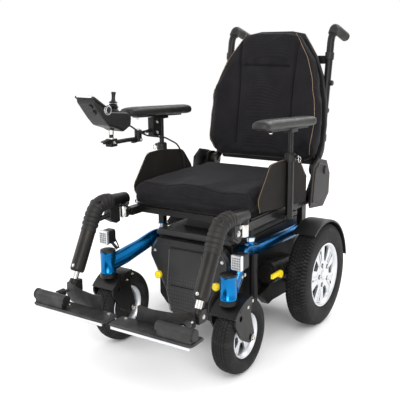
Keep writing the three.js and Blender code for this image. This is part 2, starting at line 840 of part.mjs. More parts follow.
const BACK_HALF = [[176, 18], [204, 42], [214, 92], [216, 160], [209, 238], [190, 312], [162, 378],
  [132, 423], [104, 462], [56, 471]];

const backOutline = (grow) => {
  const middle = (18 + 471) / 2;
  const half = BACK_HALF.map(([x, z]) => [x + grow, z + Math.sign(z - middle) * grow]);
  return [...half, ...half.map(([x, z]) => [-x, z]).reverse()];
};

const BACK_FRONT = -34; // front face of the padding, from the recline axis
const SHELL_FRONT = 22;

// The padding swells forwards along both sides to hold the user's trunk.
const BOLSTER_SECTION = [[120, -30], [180, -56], [198, -56], [230, -24], [230, 10], [120, 10]];
const BOLSTER_SIDE = [[-30, 36], [-58, 90], [-58, 250], [-30, 400], [10, 400], [10, 36]];

const sideBolster = (mirror) => {
  const section = BOLSTER_SECTION.map(([x, y]) => [mirror * x, y]);
  const along = floorPlate(section, 30, 410, 0);
  const side = sidePlate(BOLSTER_SIDE, -240, 240, 0);
  const within = frontPlate(backOutline(-1), -70, 12, 0);
  return meet(along, side, within);
};

const backCushion = () => {
  const middle = frontPlate(backOutline(0), BACK_FRONT, SHELL_FRONT - GAP, 0, 10);
  return leanBack(join(middle, sideBolster(1), sideBolster(-1)));
};

const CANE_RADIUS = 12.5;
const CANE_Y = SHELL_FRONT + 14 + GAP + CANE_RADIUS;
const GRIP_BEND = [CANE_Y + 20, 490];
const GRIP_END = [CANE_Y + 128, 480];

const cane = (mirror, radius) =>
  pipe(
    [
      [mirror * CANE_X, 0, 0],
      [mirror * CANE_X, CANE_Y, 60],
      [mirror * CANE_X, ...GRIP_BEND],
      [mirror * CANE_X, ...GRIP_END],
    ],
    radius,
    18,
    10,
    2,
  );

const backShell = () => {
  const shell = frontPlate(backOutline(6), SHELL_FRONT, SHELL_FRONT + 14, 0, 4);
  return leanBack(cut(shell, cane(-1, CANE_RADIUS + 2), cane(1, CANE_RADIUS + 2)));
};

const backFrame = () => {
  const pieces = [-1, 1].flatMap((mirror) => [
    cane(mirror, CANE_RADIUS),
    rod([mirror * 192, 0, 0], [mirror * (RECLINE_PLATE_X - GAP), 0, 0], 24, 14),
    rod([mirror * (CANE_X + 8), CANE_Y, 300], [mirror * (CANE_X + 24), CANE_Y, 300], 9, 8),
    rod([mirror * (CANE_X + 8), CANE_Y, 205], [mirror * (CANE_X + 17), CANE_Y, 205], 11, 8),
  ]);
  for (const z of [100, 380]) {
    pieces.push(span([-CANE_X, CANE_X], [CANE_Y - 3, CANE_Y + 3], [z - 14, z + 14]));
  }
  return leanBack(join(...pieces));
};

const pushGrip = () => {
  const start = [CANE_X, ...GRIP_BEND];
  const tip = [CANE_X, GRIP_END[0] + 6, GRIP_END[1] - 0.5];
  const sleeve = rod([CANE_X, GRIP_BEND[0] + 24, GRIP_BEND[1] - 2.2], tip, 16.5, 14);
  const hole = [CANE_X, GRIP_END[0] + GAP, GRIP_END[1]];
  return leanBack(cut(sleeve, rod(start, hole, CANE_RADIUS + 1.2, 12)));
};

place("back_cushion", backCushion(), FABRIC);
place("back_shell", backShell(), BLACK_PLASTIC);
place("back_frame", backFrame(), BLACK_METAL);
placePair("push_grip", pushGrip(), RUBBER);

// ---------------------------------------------------------------- legrests
const LEG_DIR = [0, -Math.cos(LEG_SLOPE), -Math.sin(LEG_SLOPE)];
const along = (distance, x = HANGER_X) => [
  x,
  KNEE[0] + LEG_DIR[1] * distance,
  KNEE[1] + LEG_DIR[2] * distance,
];
const LEG_RADIUS = 22;
const KNUCKLE = 21;
const EXTENSION_RADIUS = 12.5;

const CHEEK_IN = 23;
const CHEEK_OUT = 29;

const hanger = () => {
  const X = HANGER_X;
  const Y = HANGER_Y;
  const sleeve = rod([X, Y, 444 + GAP], [X, Y, 492], 15, 16);
  const arm = rod([X, Y + 8, 466.5], [X, KNEE[0] + KNUCKLE + 4, 473], 20, 16);
  const cheekX = [X - CHEEK_OUT, X - CHEEK_IN];
  const cheek = sidePlate(
    [[KNEE[0] - 20, 458], [KNEE[0] - 20, 492], [Y - 40, 486], [Y - 40, 454]],
    ...cheekX, 14);
  const bridge = span([X - CHEEK_IN - 3, X + 4], [KNEE[0] + KNUCKLE + 3, Y - 6], [468, 488]);
  const ratchet = sidePlate(
    [[-512, 410], [-478, 394], [-452, 400], [-452, 462], [-512, 462]],
    X - 13, X + 13, 0, 3);
  return join(sleeve, arm, cheek, bridge, ratchet);
};

const legTube = () => {
  const knuckle = rod([HANGER_X - CHEEK_IN + GAP, ...KNEE], [HANGER_X + 18, ...KNEE], KNUCKLE, 16);
  const tube = rod(along(4), along(LEG_LENGTH), LEG_RADIUS, 16);
  const bore = rod(along(84), along(LEG_LENGTH + 10), EXTENSION_RADIUS + GAP, 12);
  return cut(join(knuckle, tube), bore);
};

const kneeBellows = () => {
  const profile = [];
  const ribs = 5;
  const pitch = 12;
  for (let i = 0; i < ribs; i += 1) {
    profile.push([LEG_RADIUS + 3, i * pitch], [LEG_RADIUS + 6.5, i * pitch + pitch / 2]);
  }
  profile.push([LEG_RADIUS + 3, ribs * pitch]);
  profile.push([LEG_RADIUS + 1.2, ribs * pitch], [LEG_RADIUS + 1.2, 0], [LEG_RADIUS + 3, 0]);
  const points = profile.map(([radius, z]) => new THREE.Vector2(radius, z));
  const sleeve = new THREE.LatheGeometry(points, 14);
  sleeve.rotateX(Math.PI / 2);
  const turn = new THREE.Quaternion().setFromUnitVectors(
    new THREE.Vector3(0, 0, 1),
    new THREE.Vector3(...LEG_DIR),
  );
  sleeve.applyQuaternion(turn);
  return at(sleeve, ...along(26));
};

const HEEL_YAW = THREE.MathUtils.degToRad(11.5);
const PLATE_CLAMP = { front: -686, rear: -650 };
const PIN = { front: -730, radius: 5 };

const extensionTube = () => {
  const tube = rod(along(100), along(LEG_LENGTH + 38), EXTENSION_RADIUS, 12);
  const clamp = sidePlate(
    [
      [PLATE_CLAMP.front, 229],
      [PLATE_CLAMP.front, 252],
      [PLATE_CLAMP.front + 14, 267],
      [PLATE_CLAMP.rear, 264],
      [PLATE_CLAMP.rear, 229],
    ],
    HANGER_X - 15,
    HANGER_X + 15,
    6,
    2,
  );
  const pin = rod([HANGER_X, PIN.front, PLATE_AXIS_Z], [HANGER_X, PLATE_CLAMP.front + 8,
    PLATE_AXIS_Z], PIN.radius, 12);
  return join(tube, clamp, pin);
};

const BOARD = { front: -784, rear: -722, bottom: 212, top: 220 };
const BOARD_ENDS = [8, 276];

// A narrow board with a bar along its outer half and an upright heel plate across its inner half.
const footplate = () => {
  const [inner, outer] = BOARD_ENDS;
  const { front, rear, bottom, top } = BOARD;
  const board = floorPlate([[inner, front], [outer, front], [outer, rear], [inner, rear]],
    bottom, top, 10, 2);
  const lip = span([inner + 10, outer - 10], [front + 1, front + 6], [bottom - 8, bottom + 2]);
  const bar = rod([160, front + 19, 241], [outer, front + 19, 241], 15, 16);
  const barFoot = span([166, outer - 6], [front + 5, front + 23], [top - 4, 236]);
  const heel = frontPlate(
    [[0, -4], [5, 52], [46, 44], [104, 43], [168, 54], [172, 12], [150, -4]], -2, 3, 6);
  heel.rotateZ(HEEL_YAW);
  heel.translate(60, -727, 212);
  const lug = span([206, 234], [-740, rear - 1], [top - 4, PLATE_AXIS_Z - 4]);
  const eye = rod([HANGER_X, -738, PLATE_AXIS_Z], [HANGER_X, rear + 8, PLATE_AXIS_Z], 11, 16);
  const pinBore = rod([HANGER_X, PIN.front - GAP, PLATE_AXIS_Z], [HANGER_X, PLATE_CLAMP.front,
    PLATE_AXIS_Z], boreRadius(PIN.radius, 12), 12);
  return cut(join(board, lip, bar, barFoot, heel, lug, eye), pinBore);
};

placePair("legrest_hanger", hanger(), BLACK_METAL);
placePair("legrest_tube", legTube(), BLACK_METAL);
placePair("knee_bellows", kneeBellows(), RUBBER);
placePair("legrest_extension", extensionTube(), BLACK_METAL);
placePair("footplate", footplate(), BLACK_PLASTIC);

// ---------------------------------------------------------------- joystick
// Drawn on the mirrored side, so +X here is the user's right.
const JOY_X = 241;
const JOY_PIVOT = [-322, 652]; // Y and Z of the swing clamp
const POD_FOOT = [-455, 685]; // top of the pod's post
const POD_ORIGIN = [-445, 722];
const POD_TILT = THREE.MathUtils.degToRad(6);
const STICK_BASE = 20; // in the pod's own frame
const STICK_FOOT = 44.4;
const GIMBAL_Z = 14.5;

const joystickRod = () => {
  const [y, z] = JOY_PIVOT;
  const holder = span([JOY_X - 11, JOY_X + 11], [-254, -211], [642, 706.2]);
  const run = pipe([[JOY_X, -248, 665], [JOY_X, -282, 661], [JOY_X, y + 4, 661]], 6, 12, 8, 2);
  const clamp = rod([JOY_X, y, z + GAP], [JOY_X, y, z + 20], 12, 14);
  return join(holder, run, clamp);
};

const swingLink = () => {
  const [y, z] = JOY_PIVOT;
  const [postY, postTop] = POD_FOOT;
  const knuckle = rod([JOY_X, y, z - 18], [JOY_X, y, z], 12, 14);
  const run = pipe([[JOY_X, y, z - 9], [JOY_X, y - 60, z - 7], [JOY_X, postY, z - 7], [JOY_X, postY,
    postTop]], 7, 12, 8, 2);
  const clamp = span([JOY_X - 12, JOY_X + 12], [postY - 14, postY + 14], [z - 18, z + 6]);
  const lever = span([JOY_X - 6, JOY_X + 6], [postY - 34, postY - 12], [z - 8, z - 3]);
  return join(knuckle, run, clamp, lever);
};

// Drawn level with the stick's foot at the origin, then tipped up towards the front.
const tipPod = (geometry) => {
  geometry.rotateX(-POD_TILT);
  return geometry.translate(JOY_X, ...POD_ORIGIN);
};

const joystickPod = () => {
  const bodyShape = [[17, -42], [53, -18], [52, 8], [34, STICK_BASE - GAP], [-54, STICK_BASE - GAP],
    [-68, 28], [-128, 56], [-126, 42], [-81, -2], [-54, -24], [-9, -33]];
  const body = sidePlate(bodyShape, -36, 36, 0, 3);
  const screen = sidePlate([[-70, 26], [-126, 52], [-132, 57], [-129, 62], [-70, 34]], -38, 38, 0, 2);
  const well = rod([0, 0, 5], [0, 0, 40], 11, 12);
  return tipPod(cut(join(body, screen), well));
};

// The boot's crown is a dome about the gimbal, so the stick tilts over it with a constant gap.
const joystickGaiter = () => {
  const dome = STICK_FOOT - GAP - GIMBAL_Z;
  const crown = [25, 20, 14, 8, 0].map((radius) => [radius, GIMBAL_Z + Math.sqrt(dome ** 2 - radius ** 2)]);
  return tipPod(turnedUpward([[0, STICK_BASE], [28, STICK_BASE], [28, 23], ...crown], 12));
};

const joystickGimbal = () => {
  const low = GIMBAL_Z - 2.5;
  const high = GIMBAL_Z + 2.5;
  return tipPod(turnedUpward([[4, low], [7.5, low], [7.5, high], [4, high], [4, low]], 10));
};

const joystickStick = () => {
  const profile = [[0, STICK_FOOT], [6, STICK_FOOT], [6, 54], [11, 58], [11, 76], [8, 80], [0, 80]];
  return tipPod(turnedUpward(profile, 10));
};

place("joystick_rod", joystickRod(), BLACK_METAL, sides.right);
place("joystick_swing", swingLink(), BLACK_METAL, sides.right);
place("joystick_pod", joystickPod(), BLACK_PLASTIC, sides.right);
place("joystick_gaiter", joystickGaiter(), RUBBER, sides.right);
place("joystick_gimbal", joystickGimbal(), ALLOY, sides.right);
place("joystick_stick", joystickStick(), BLACK_PLASTIC, sides.right);

// From the pod's tail, inboard of the clamps, down between the guard and the cushion,
// and under the seat to the lid of the battery box.
const JOYSTICK_LEAD = [
  [241, -393, 701],
  [240, -381, 697],
  [229, -366, 686],
  [221, -346, 670],
  [221, -300, 652],
  [221, -200, 634],
  [221, -130, 604],
  [221, -95, 560],
  [221, -86, 500],
  [221, -86, 402],
  [212, -84, 391],
  [150, -72, 392],
  [108, -62, 388],
  [108, -62, BOX_TOP + 22 + GAP],
];

place("joystick_lead", pipe(JOYSTICK_LEAD, 2.8, 12, 8, 1), CABLE, sides.right);

export default chair;
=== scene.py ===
import bmesh
import bpy
import json
import math
from mathutils import Euler, Matrix, Vector, noise
from mathutils.bvhtree import BVHTree
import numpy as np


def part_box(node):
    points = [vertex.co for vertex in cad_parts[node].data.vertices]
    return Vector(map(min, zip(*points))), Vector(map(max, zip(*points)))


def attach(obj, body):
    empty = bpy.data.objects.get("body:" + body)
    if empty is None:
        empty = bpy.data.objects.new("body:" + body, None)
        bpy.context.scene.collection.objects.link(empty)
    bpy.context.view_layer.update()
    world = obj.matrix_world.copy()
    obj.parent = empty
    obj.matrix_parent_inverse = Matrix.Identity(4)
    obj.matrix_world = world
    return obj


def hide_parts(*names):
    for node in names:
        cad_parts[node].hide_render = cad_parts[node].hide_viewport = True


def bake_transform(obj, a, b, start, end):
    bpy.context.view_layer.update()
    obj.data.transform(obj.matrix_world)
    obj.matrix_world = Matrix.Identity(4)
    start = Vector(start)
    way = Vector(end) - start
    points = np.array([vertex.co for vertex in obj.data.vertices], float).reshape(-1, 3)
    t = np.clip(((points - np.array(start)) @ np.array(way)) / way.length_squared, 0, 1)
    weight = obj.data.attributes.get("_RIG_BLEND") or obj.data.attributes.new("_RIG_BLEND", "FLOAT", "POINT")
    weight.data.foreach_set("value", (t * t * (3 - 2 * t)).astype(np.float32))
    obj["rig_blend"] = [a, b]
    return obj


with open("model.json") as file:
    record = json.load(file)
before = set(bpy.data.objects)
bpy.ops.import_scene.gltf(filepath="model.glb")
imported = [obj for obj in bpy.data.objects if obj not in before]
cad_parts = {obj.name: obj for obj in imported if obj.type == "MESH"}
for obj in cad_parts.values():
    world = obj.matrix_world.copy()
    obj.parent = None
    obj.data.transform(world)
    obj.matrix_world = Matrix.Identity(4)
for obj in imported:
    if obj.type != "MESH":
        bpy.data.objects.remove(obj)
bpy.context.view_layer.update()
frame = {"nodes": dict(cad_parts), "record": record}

# Metres, +Z up, the user faces -Y and the user's left is +X.
# In SIDES, each side has its name and the sign of its x. Most functions call that sign g.
NODES = frame["nodes"]
SIDES = (("left", 1), ("right", -1))
TAU = 2 * math.pi
MM = 0.001
NEARLY_ZERO = 1e-5


def middle(node):
    low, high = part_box(node)
    return (low + high) / 2


AXLE_Y = middle("drive_rim_left").y


# ---------------------------------------------------------------- camera
CAMERA_LENS = 59.714
CAMERA_PLACE = (1.1245, AXLE_Y - 2.0214, 0.9273)
CAMERA_DIP = 12.795
CAMERA_TURN = 33.493
CAMERA_ROLL = -0.532


def make_camera():
    """The angles are degrees: below level, about the vertical and about the line of sight."""
    data = bpy.data.cameras.new("camera")
    data.sensor_width = 36
    data.lens = CAMERA_LENS
    camera = bpy.data.objects.new("camera", data)
    bpy.context.scene.collection.objects.link(camera)
    level = Euler((math.radians(90 - CAMERA_DIP), 0, math.radians(CAMERA_TURN))).to_matrix()
    roll = Matrix.Rotation(math.radians(CAMERA_ROLL), 3, "Z")
    camera.matrix_world = Matrix.Translation(CAMERA_PLACE) @ (level @ roll).to_4x4()
    bpy.context.scene.camera = camera


make_camera()


# ---------------------------------------------------------------- materials
class Shader:
    """A node material with a few short words for what the finishes below need."""

    def __init__(self, name):
        self.material = bpy.data.materials.new(name)
        self.material.use_nodes = True
        self.nodes = self.material.node_tree.nodes
        self.links = self.material.node_tree.links
        self.bsdf = self.nodes["Principled BSDF"]
        coordinates = self.add("ShaderNodeTexCoord")
        self.place = coordinates.outputs["Object"]
        self.height = None

    def add(self, kind, **settings):
        node = self.nodes.new(kind)
        for key, value in settings.items():
            if hasattr(node, key):
                setattr(node, key, value)
            else:
                node.inputs[key.replace("_", " ")].default_value = value
        return node

    def link(self, source, node, socket):
        self.links.new(source, node.inputs[socket])

    def set(self, **values):
        for key, value in values.items():
            self.bsdf.inputs[key.replace("_", " ")].default_value = value

    def noise(self, scale, detail=3.0, roughness=0.5):
        node = self.add("ShaderNodeTexNoise")
        node.inputs["Scale"].default_value = scale
        node.inputs["Detail"].default_value = detail
        node.inputs["Roughness"].default_value = roughness
        self.link(self.place, node, "Vector")
        return node.outputs["Fac"]

    def cells(self, scale):
        node = self.add("ShaderNodeTexVoronoi")
        node.inputs["Scale"].default_value = scale
        self.link(self.place, node, "Vector")
        return node.outputs["Distance"]

    def bands(self, period, direction, distortion=0.0):
        """Sine bands that repeat every period metres."""
        node = self.add("ShaderNodeTexWave", wave_type="BANDS", bands_direction=direction)
        node.inputs["Scale"].default_value = TAU / 20 / period
        node.inputs["Distortion"].default_value = distortion
        self.link(self.place, node, "Vector")
        return node.outputs["Fac"]

    def ramp(self, source, *stops):
        node = self.add("ShaderNodeValToRGB")
        while len(node.color_ramp.elements) < len(stops):
            node.color_ramp.elements.new(0.5)
        for element, (position, colour) in zip(node.color_ramp.elements, stops):
            element.position = position
            element.color = colour if len(colour) == 4 else (*colour, 1)
        self.link(source, node, "Fac")
        return node.outputs["Color"]

    def levels(self, source, low, high, start=0.0, end=1.0):
        node = self.add("ShaderNodeMapRange")
        node.inputs["From Min"].default_value = start
        node.inputs["From Max"].default_value = end
        node.inputs["To Min"].default_value = low
        node.inputs["To Max"].default_value = high
        self.link(source, node, "Value")
        return node.outputs["Result"]

    def mix(self, factor, first, second):
        node = self.add("ShaderNodeMix", data_type="RGBA")
        for value, socket in ((factor, node.inputs[0]), (first, node.inputs[6]), (second, node.inputs[7])):
            if hasattr(value, "links"):
                self.links.new(value, socket)
            elif isinstance(value, tuple):
                socket.default_value = (*value, 1)
            else:
                socket.default_value = value
        return node.outputs[2]

    def combine(self, first, second, operation="MULTIPLY"):
        node = self.add("ShaderNodeMath", operation=operation)
        self.links.new(first, node.inputs[0])
        if hasattr(second, "links"):
            self.links.new(second, node.inputs[1])
        else:
            node.inputs[1].default_value = second
        return node.outputs[0]

    def colour(self, source):
        self.link(source, self.bsdf, "Base Color")

    def roughness(self, source):
        self.link(source, self.bsdf, "Roughness")

    def bump(self, source, depth, strength=1.0):
        node = self.add("ShaderNodeBump")
        node.inputs["Distance"].default_value = depth
        node.inputs["Strength"].default_value = strength
        self.link(source, node, "Height")
        if self.height:
            self.links.new(self.height, node.inputs["Normal"])
        self.height = node.outputs["Normal"]
        self.link(self.height, self.bsdf, "Normal")

    def worn_edges(self, radius=0.0012):
        """1 on convex edges and 0 on flat faces."""
        bevel = self.add("ShaderNodeBevel", samples=4)
        bevel.inputs["Radius"].default_value = radius
        geometry = self.add("ShaderNodeNewGeometry")
        dot = self.add("ShaderNodeVectorMath", operation="DOT_PRODUCT")
        self.links.new(bevel.outputs["Normal"], dot.inputs[0])
        self.links.new(geometry.outputs["Normal"], dot.inputs[1])
        return self.levels(dot.outputs["Value"], 1, 0, 0.86, 0.99)


def paint_finish(name, deep, light, metallic, rough, coat, flake=0.0004):
    s = Shader(name)
    s.set(Metallic=metallic, Coat_Weight=coat, Coat_Roughness=0.08)
    cloud = s.noise(9, 4)
    s.colour(s.mix(s.levels(cloud, 0, 1, 0.3, 0.7), deep, light))
    s.roughness(s.levels(s.noise(60, 4), rough - 0.05, rough + 0.08))
    s.bump(s.noise(900, 2), flake, 0.12)
    s.bump(s.noise(40, 2), 0.0003, 0.06)
    return s.material


def powder_coat(name, dark, light, rough, metallic=0.35):
    s = Shader(name)
    s.set(Metallic=metallic, Coat_Weight=0.1, Coat_Roughness=0.3, Specular_IOR_Level=0.3)
    wear = s.combine(s.worn_edges(), s.levels(s.noise(130, 5), 0, 1, 0.45, 0.62))
    base = s.mix(s.levels(s.noise(14, 4), 0, 1, 0.3, 0.7), dark, light)
    s.colour(s.mix(s.combine(wear, 0.55), base, (0.22, 0.2, 0.18)))
    s.roughness(s.levels(s.noise(45, 5), rough - 0.08, rough + 0.1))
    s.bump(s.noise(1400, 2), 0.00025, 0.35)
    return s.material


def moulded(name, dark, light, rough, grain=0.0009, depth=0.0003):
    s = Shader(name)
    s.set(Specular_IOR_Level=0.32)
    s.colour(s.mix(s.levels(s.noise(11, 4), 0, 1, 0.3, 0.7), dark, light))
    s.roughness(s.levels(s.noise(70, 4), rough - 0.08, rough + 0.1))
    s.bump(s.cells(1 / grain), depth, 0.3)
    s.bump(s.noise(25, 3), 0.0008, 0.12)
    return s.material


def woven(name, dark, light, period=0.0016, sheen=0.06):
    """A tight textile: crossing threads, a slow change of shade and short fuzz."""
    s = Shader(name)
    s.set(Sheen_Weight=sheen, Sheen_Roughness=0.45, Sheen_Tint=(0.7, 0.68, 0.72, 1), Specular_IOR_Level=0.15)
    weft = s.bands(period, "X", 0.6)
    warp = s.bands(period, "Z", 0.6)
    across = s.bands(period, "Y", 0.6)
    threads = s.combine(s.combine(weft, warp, "ADD"), across, "ADD")
    shade = s.levels(threads, 0, 1, 0.6, 2.4)
    blend = s.combine(shade, s.levels(s.noise(18, 5), 0.35, 1.0, 0.3, 0.7))
    s.colour(s.mix(blend, dark, light))
    s.roughness(s.levels(s.noise(200, 3), 0.78, 0.95))
    s.bump(threads, 0.0002, 0.2)
    s.bump(s.noise(420, 3), 0.0004, 0.3)
    s.bump(s.noise(32, 4), 0.0016, 0.25)
    return s.material


def shroud_plastic(name, dark, light):
    """Moulded plastic whose lower half carries a coarse woven pattern."""
    s = Shader(name)
    s.set(Specular_IOR_Level=0.35, Coat_Weight=0.12, Coat_Roughness=0.3)
    split = s.add("ShaderNodeSeparateXYZ")
    s.link(s.place, split, "Vector")
    lower = s.levels(split.outputs["Z"], 1, 0, 0.215, 0.25)
    weave = s.combine(s.combine(s.bands(0.009, "X", 0.4), s.bands(0.012, "Z", 0.4)), lower)
    base = s.mix(s.levels(s.noise(14, 4), 0, 1, 0.3, 0.7), dark, light)
    s.colour(s.mix(s.combine(weave, s.noise(30, 3)), base, (0.07, 0.067, 0.064)))
    s.roughness(s.levels(s.noise(45, 5), 0.34, 0.5))
    s.bump(weave, 0.0006, 0.5)
    s.bump(s.noise(1400, 2), 0.0002, 0.3)
    return s.material


def tyre_rubber(name):
    s = Shader(name)
    s.set(Specular_IOR_Level=0.3)
    dust = s.levels(s.noise(26, 5, 0.6), 0, 1, 0.5, 0.72)
    s.colour(s.mix(s.combine(dust, 0.5), (0.007, 0.007, 0.007), (0.034, 0.033, 0.031)))
    s.roughness(s.levels(s.noise(90, 4), 0.62, 0.88))
    s.bump(s.noise(700, 3), 0.0004, 0.4)
    s.bump(s.noise(60, 3), 0.0008, 0.2)
    return s.material


def alloy(name, tone, rough, metallic=0.9):
    s = Shader(name)
    s.set(Metallic=metallic)
    light = tuple(min(1, c * 1.12) for c in tone)
    s.colour(s.mix(s.levels(s.noise(20, 4), 0, 1, 0.3, 0.7), tone, light))
    s.roughness(s.levels(s.noise(120, 5), rough - 0.06, rough + 0.12))
    s.bump(s.noise(1600, 2), 0.0002, 0.3)
    return s.material


def polished(name):
    s = Shader(name)
    s.set(Metallic=1.0)
    s.colour(s.mix(s.noise(50, 3), (0.72, 0.71, 0.69), (0.62, 0.6, 0.57)))
    s.roughness(s.levels(s.noise(160, 4), 0.12, 0.28))
    s.bump(s.noise(400, 2), 0.0002, 0.15)
    return s.material


def speckled(name):
    """Dark moulded board with fine pale flecks, lighter in slow random patches."""
    s = Shader(name)
    flecks = s.ramp(s.cells(420), (0.0, (0.5, 0.5, 0.5)), (0.16, (0.02, 0.02, 0.02)))
    rub = s.levels(s.noise(30, 5), 0, 1, 0.42, 0.75)
    base = s.mix(rub, (0.006, 0.006, 0.0065), (0.024, 0.022, 0.02))
    s.colour(s.mix(s.combine(s.levels(flecks, 0, 1), rub), base, (0.3, 0.29, 0.27)))
    s.roughness(s.levels(s.noise(80, 4), 0.35, 0.65))
    s.bump(s.cells(500), 0.0004, 0.4)
    return s.material


def soft_skin(name, tone):
    """Moulded foam skin, like fine leather."""
    s = Shader(name)
    s.set(Specular_IOR_Level=0.4)
    light = tuple(c * 1.9 + 0.004 for c in tone)
    s.colour(s.mix(s.levels(s.noise(22, 5), 0, 1, 0.35, 0.75), tone, light))
    s.roughness(s.levels(s.noise(55, 4), 0.36, 0.55))
    s.bump(s.cells(620), 0.0005, 0.35)
    s.bump(s.noise(70, 4), 0.0008, 0.2)
    return s.material


def clear_lens(name):
    s = Shader(name)
    s.set(Transmission_Weight=0.3, IOR=1.45, Base_Color=(0.85, 0.87, 0.88, 1))
    s.roughness(s.levels(s.noise(40, 2), 0.03, 0.09))
    s.bump(s.bands(0.004, "X"), 0.0008, 0.5)
    return s.material


MATERIALS = {
    "blue_paint": paint_finish("blue_paint", (0.0, 0.125, 0.34), (0.002, 0.17, 0.45), 0.95, 0.2, 0.12),
    "black_paint": powder_coat("black_paint", (0.005, 0.0047, 0.0044), (0.012, 0.011, 0.01), 0.38),
    "bronze_paint": powder_coat("bronze_paint", (0.012, 0.0105, 0.0095), (0.024, 0.021, 0.0185), 0.34, 0.55),
    "black_plastic": moulded("black_plastic", (0.005, 0.005, 0.005), (0.012, 0.0115, 0.011), 0.42),
    "grey_plastic": moulded("grey_plastic", (0.022, 0.022, 0.023), (0.036, 0.036, 0.037), 0.45),
    "yellow_plastic": moulded("yellow_plastic", (0.82, 0.6, 0.01), (0.92, 0.72, 0.03), 0.35),
    "tyre_rubber": tyre_rubber("tyre_rubber"),
    "grip_rubber": moulded("grip_rubber", (0.007, 0.0065, 0.006), (0.016, 0.015, 0.014), 0.5, 0.0014, 0.0004),
    "alloy": alloy("alloy", (0.66, 0.67, 0.69), 0.32),
    "steel": polished("steel"),
    "fabric": woven("fabric", (0.005, 0.0045, 0.0055), (0.017, 0.0155, 0.0185)),
    "side_fabric": woven("side_fabric", (0.006, 0.005, 0.0043), (0.016, 0.013, 0.0105)),
    "arm_foam": soft_skin("arm_foam", (0.007, 0.0065, 0.006)),
    "footboard": speckled("footboard"),
    "lens": clear_lens("lens"),
    "cable": moulded("cable", (0.01, 0.01, 0.01), (0.02, 0.02, 0.02), 0.5, 0.002),
    "battery_case": moulded("battery_case", (0.03, 0.033, 0.037), (0.05, 0.054, 0.06), 0.5),
    "piping": woven("piping", (0.16, 0.105, 0.06), (0.36, 0.25, 0.16), 0.001),
    "seam_cord": woven("seam_cord", (0.003, 0.003, 0.003), (0.008, 0.008, 0.008), 0.001),
    "shroud_plastic": shroud_plastic("shroud_plastic", (0.009, 0.0088, 0.0088), (0.018, 0.0175, 0.0175)),
    "lamp_shadow": moulded("lamp_shadow", (0.09, 0.09, 0.095), (0.16, 0.16, 0.165), 0.4),
    # Pale grey for the painted highlights along the shroud's creases.
    "crease_highlight": moulded("crease_highlight", (0.07, 0.07, 0.07), (0.15, 0.15, 0.15), 0.35),
    "screen": moulded("screen", (0.004, 0.004, 0.005), (0.008, 0.008, 0.01), 0.14),
}


# The CAD's material slot for a finish that has another name than its slot.
SLOT_OF = {
    "steel": "alloy", "piping": "fabric", "seam_cord": "fabric", "lamp_shadow": "lens",
    "screen": "black_plastic", "crease_highlight": "black_plastic",
}
BODIES = frame["record"]["behaviour"]["bodies"]


# ---------------------------------------------------------------- mesh tools
class Solid:
    """Collects closed shells and makes one piece of them."""

    def __init__(self):
        self.vertices = []
        self.faces = []

    def shell(self, vertices, faces):
        start = len(self.vertices)
        self.vertices += [Vector(v) for v in vertices]
        self.faces += [tuple(start + i for i in face) for face in faces]
        return self

    def mesh(self, name):
        mesh = bpy.data.meshes.new(name)
        mesh.from_pydata([tuple(v) for v in self.vertices], [], self.faces)
        mesh.validate()
        work = bmesh.new()
        work.from_mesh(mesh)
        bmesh.ops.recalc_face_normals(work, faces=work.faces)
        work.to_mesh(mesh)
        work.free()
        return mesh

    def piece(self, name, finish, body, bevel=0.0, angle=32, stands_for=(), slot=None):
        """bevel is metres; angle is degrees, above which an edge is rounded or sharp."""
        slot = slot or SLOT_OF.get(finish, finish)
        return finish_piece(self.mesh(name), name, finish, body, bevel, angle, stands_for)

    def loose(self, name, finish, slot):
        piece = bpy.data.objects.new(name, self.mesh(name))
        bpy.context.scene.collection.objects.link(piece)
        piece.data.materials.append(MATERIALS[finish])
        for polygon in piece.data.polygons:
            polygon.use_smooth = True
        return piece


def finish_piece(mesh, name, finish, body, bevel=0.0, angle=32, stands_for=()):
    piece = bpy.data.objects.new(name, mesh)
    bpy.context.scene.collection.objects.link(piece)
    mesh.materials.append(MATERIALS[finish])
    for polygon in mesh.polygons:
        polygon.use_smooth = True
    limit = math.radians(angle)
    if bevel:
        edge = piece.modifiers.new("bevel", "BEVEL")
        edge.width = bevel
        edge.segments = 2
        edge.limit_method = "ANGLE"
        edge.angle_limit = limit
        edge.harden_normals = True
    else:
        mesh.set_sharp_from_angle(angle=limit)
    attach(piece, body)
    if stands_for:
        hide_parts(*stands_for)
    return piece


def drop_custom_normals(mesh):
    for layer in [a.name for a in mesh.attributes if a.name == "custom_normal"]:
        mesh.attributes.remove(mesh.attributes[layer])


def body_of(node):
    return next(body for body, nodes in BODIES.items() if node in nodes)


def reskin(node, finish, bevel):
    """A cleaned copy of a CAD node: whole facets, rounded edges, smooth rounds."""
    work = bmesh.new()
    work.from_mesh(NODES[node].data)
    bmesh.ops.remove_doubles(work, verts=work.verts, dist=2e-5)
    bmesh.ops.dissolve_limit(work, angle_limit=math.radians(0.6), verts=work.verts, edges=work.edges)
    mesh = bpy.data.meshes.new(node + "_skin")
    work.to_mesh(mesh)
    work.free()
    drop_custom_normals(mesh)
    return finish_piece(mesh, node + "_skin", finish, body_of(node), bevel, 32, [node])


def frame_along(path):
    """Steady sideways and upward directions for each point of a path."""
    count = len(path)
    tangents = []
    for i in range(count):
        ahead, behind = path[min(i + 1, count - 1)], path[max(i - 1, 0)]
        tangents.append((ahead - behind).normalized())
    first = tangents[0]
    side = first.cross(Vector((0, 0, 1)))
    if side.length < 0.1:
        side = first.cross(Vector((0, 1, 0)))
    side.normalize()
    frames = []
    for tangent in tangents:
        side = (side - tangent * side.dot(tangent)).normalized()
        frames.append((side, tangent.cross(side)))
    return frames


def runs(path):
    """The length run along a path at each of its points."""
    lengths = [0.0]
    for a, b in zip(path, path[1:]):
        lengths.append(lengths[-1] + (b - a).length)
    return lengths


def curve(start, corner, end, t):
    """A point of the arc that leaves start towards the corner and reaches end from it."""
    return start * (1 - t) ** 2 + corner * 2 * t * (1 - t) + end * t ** 2


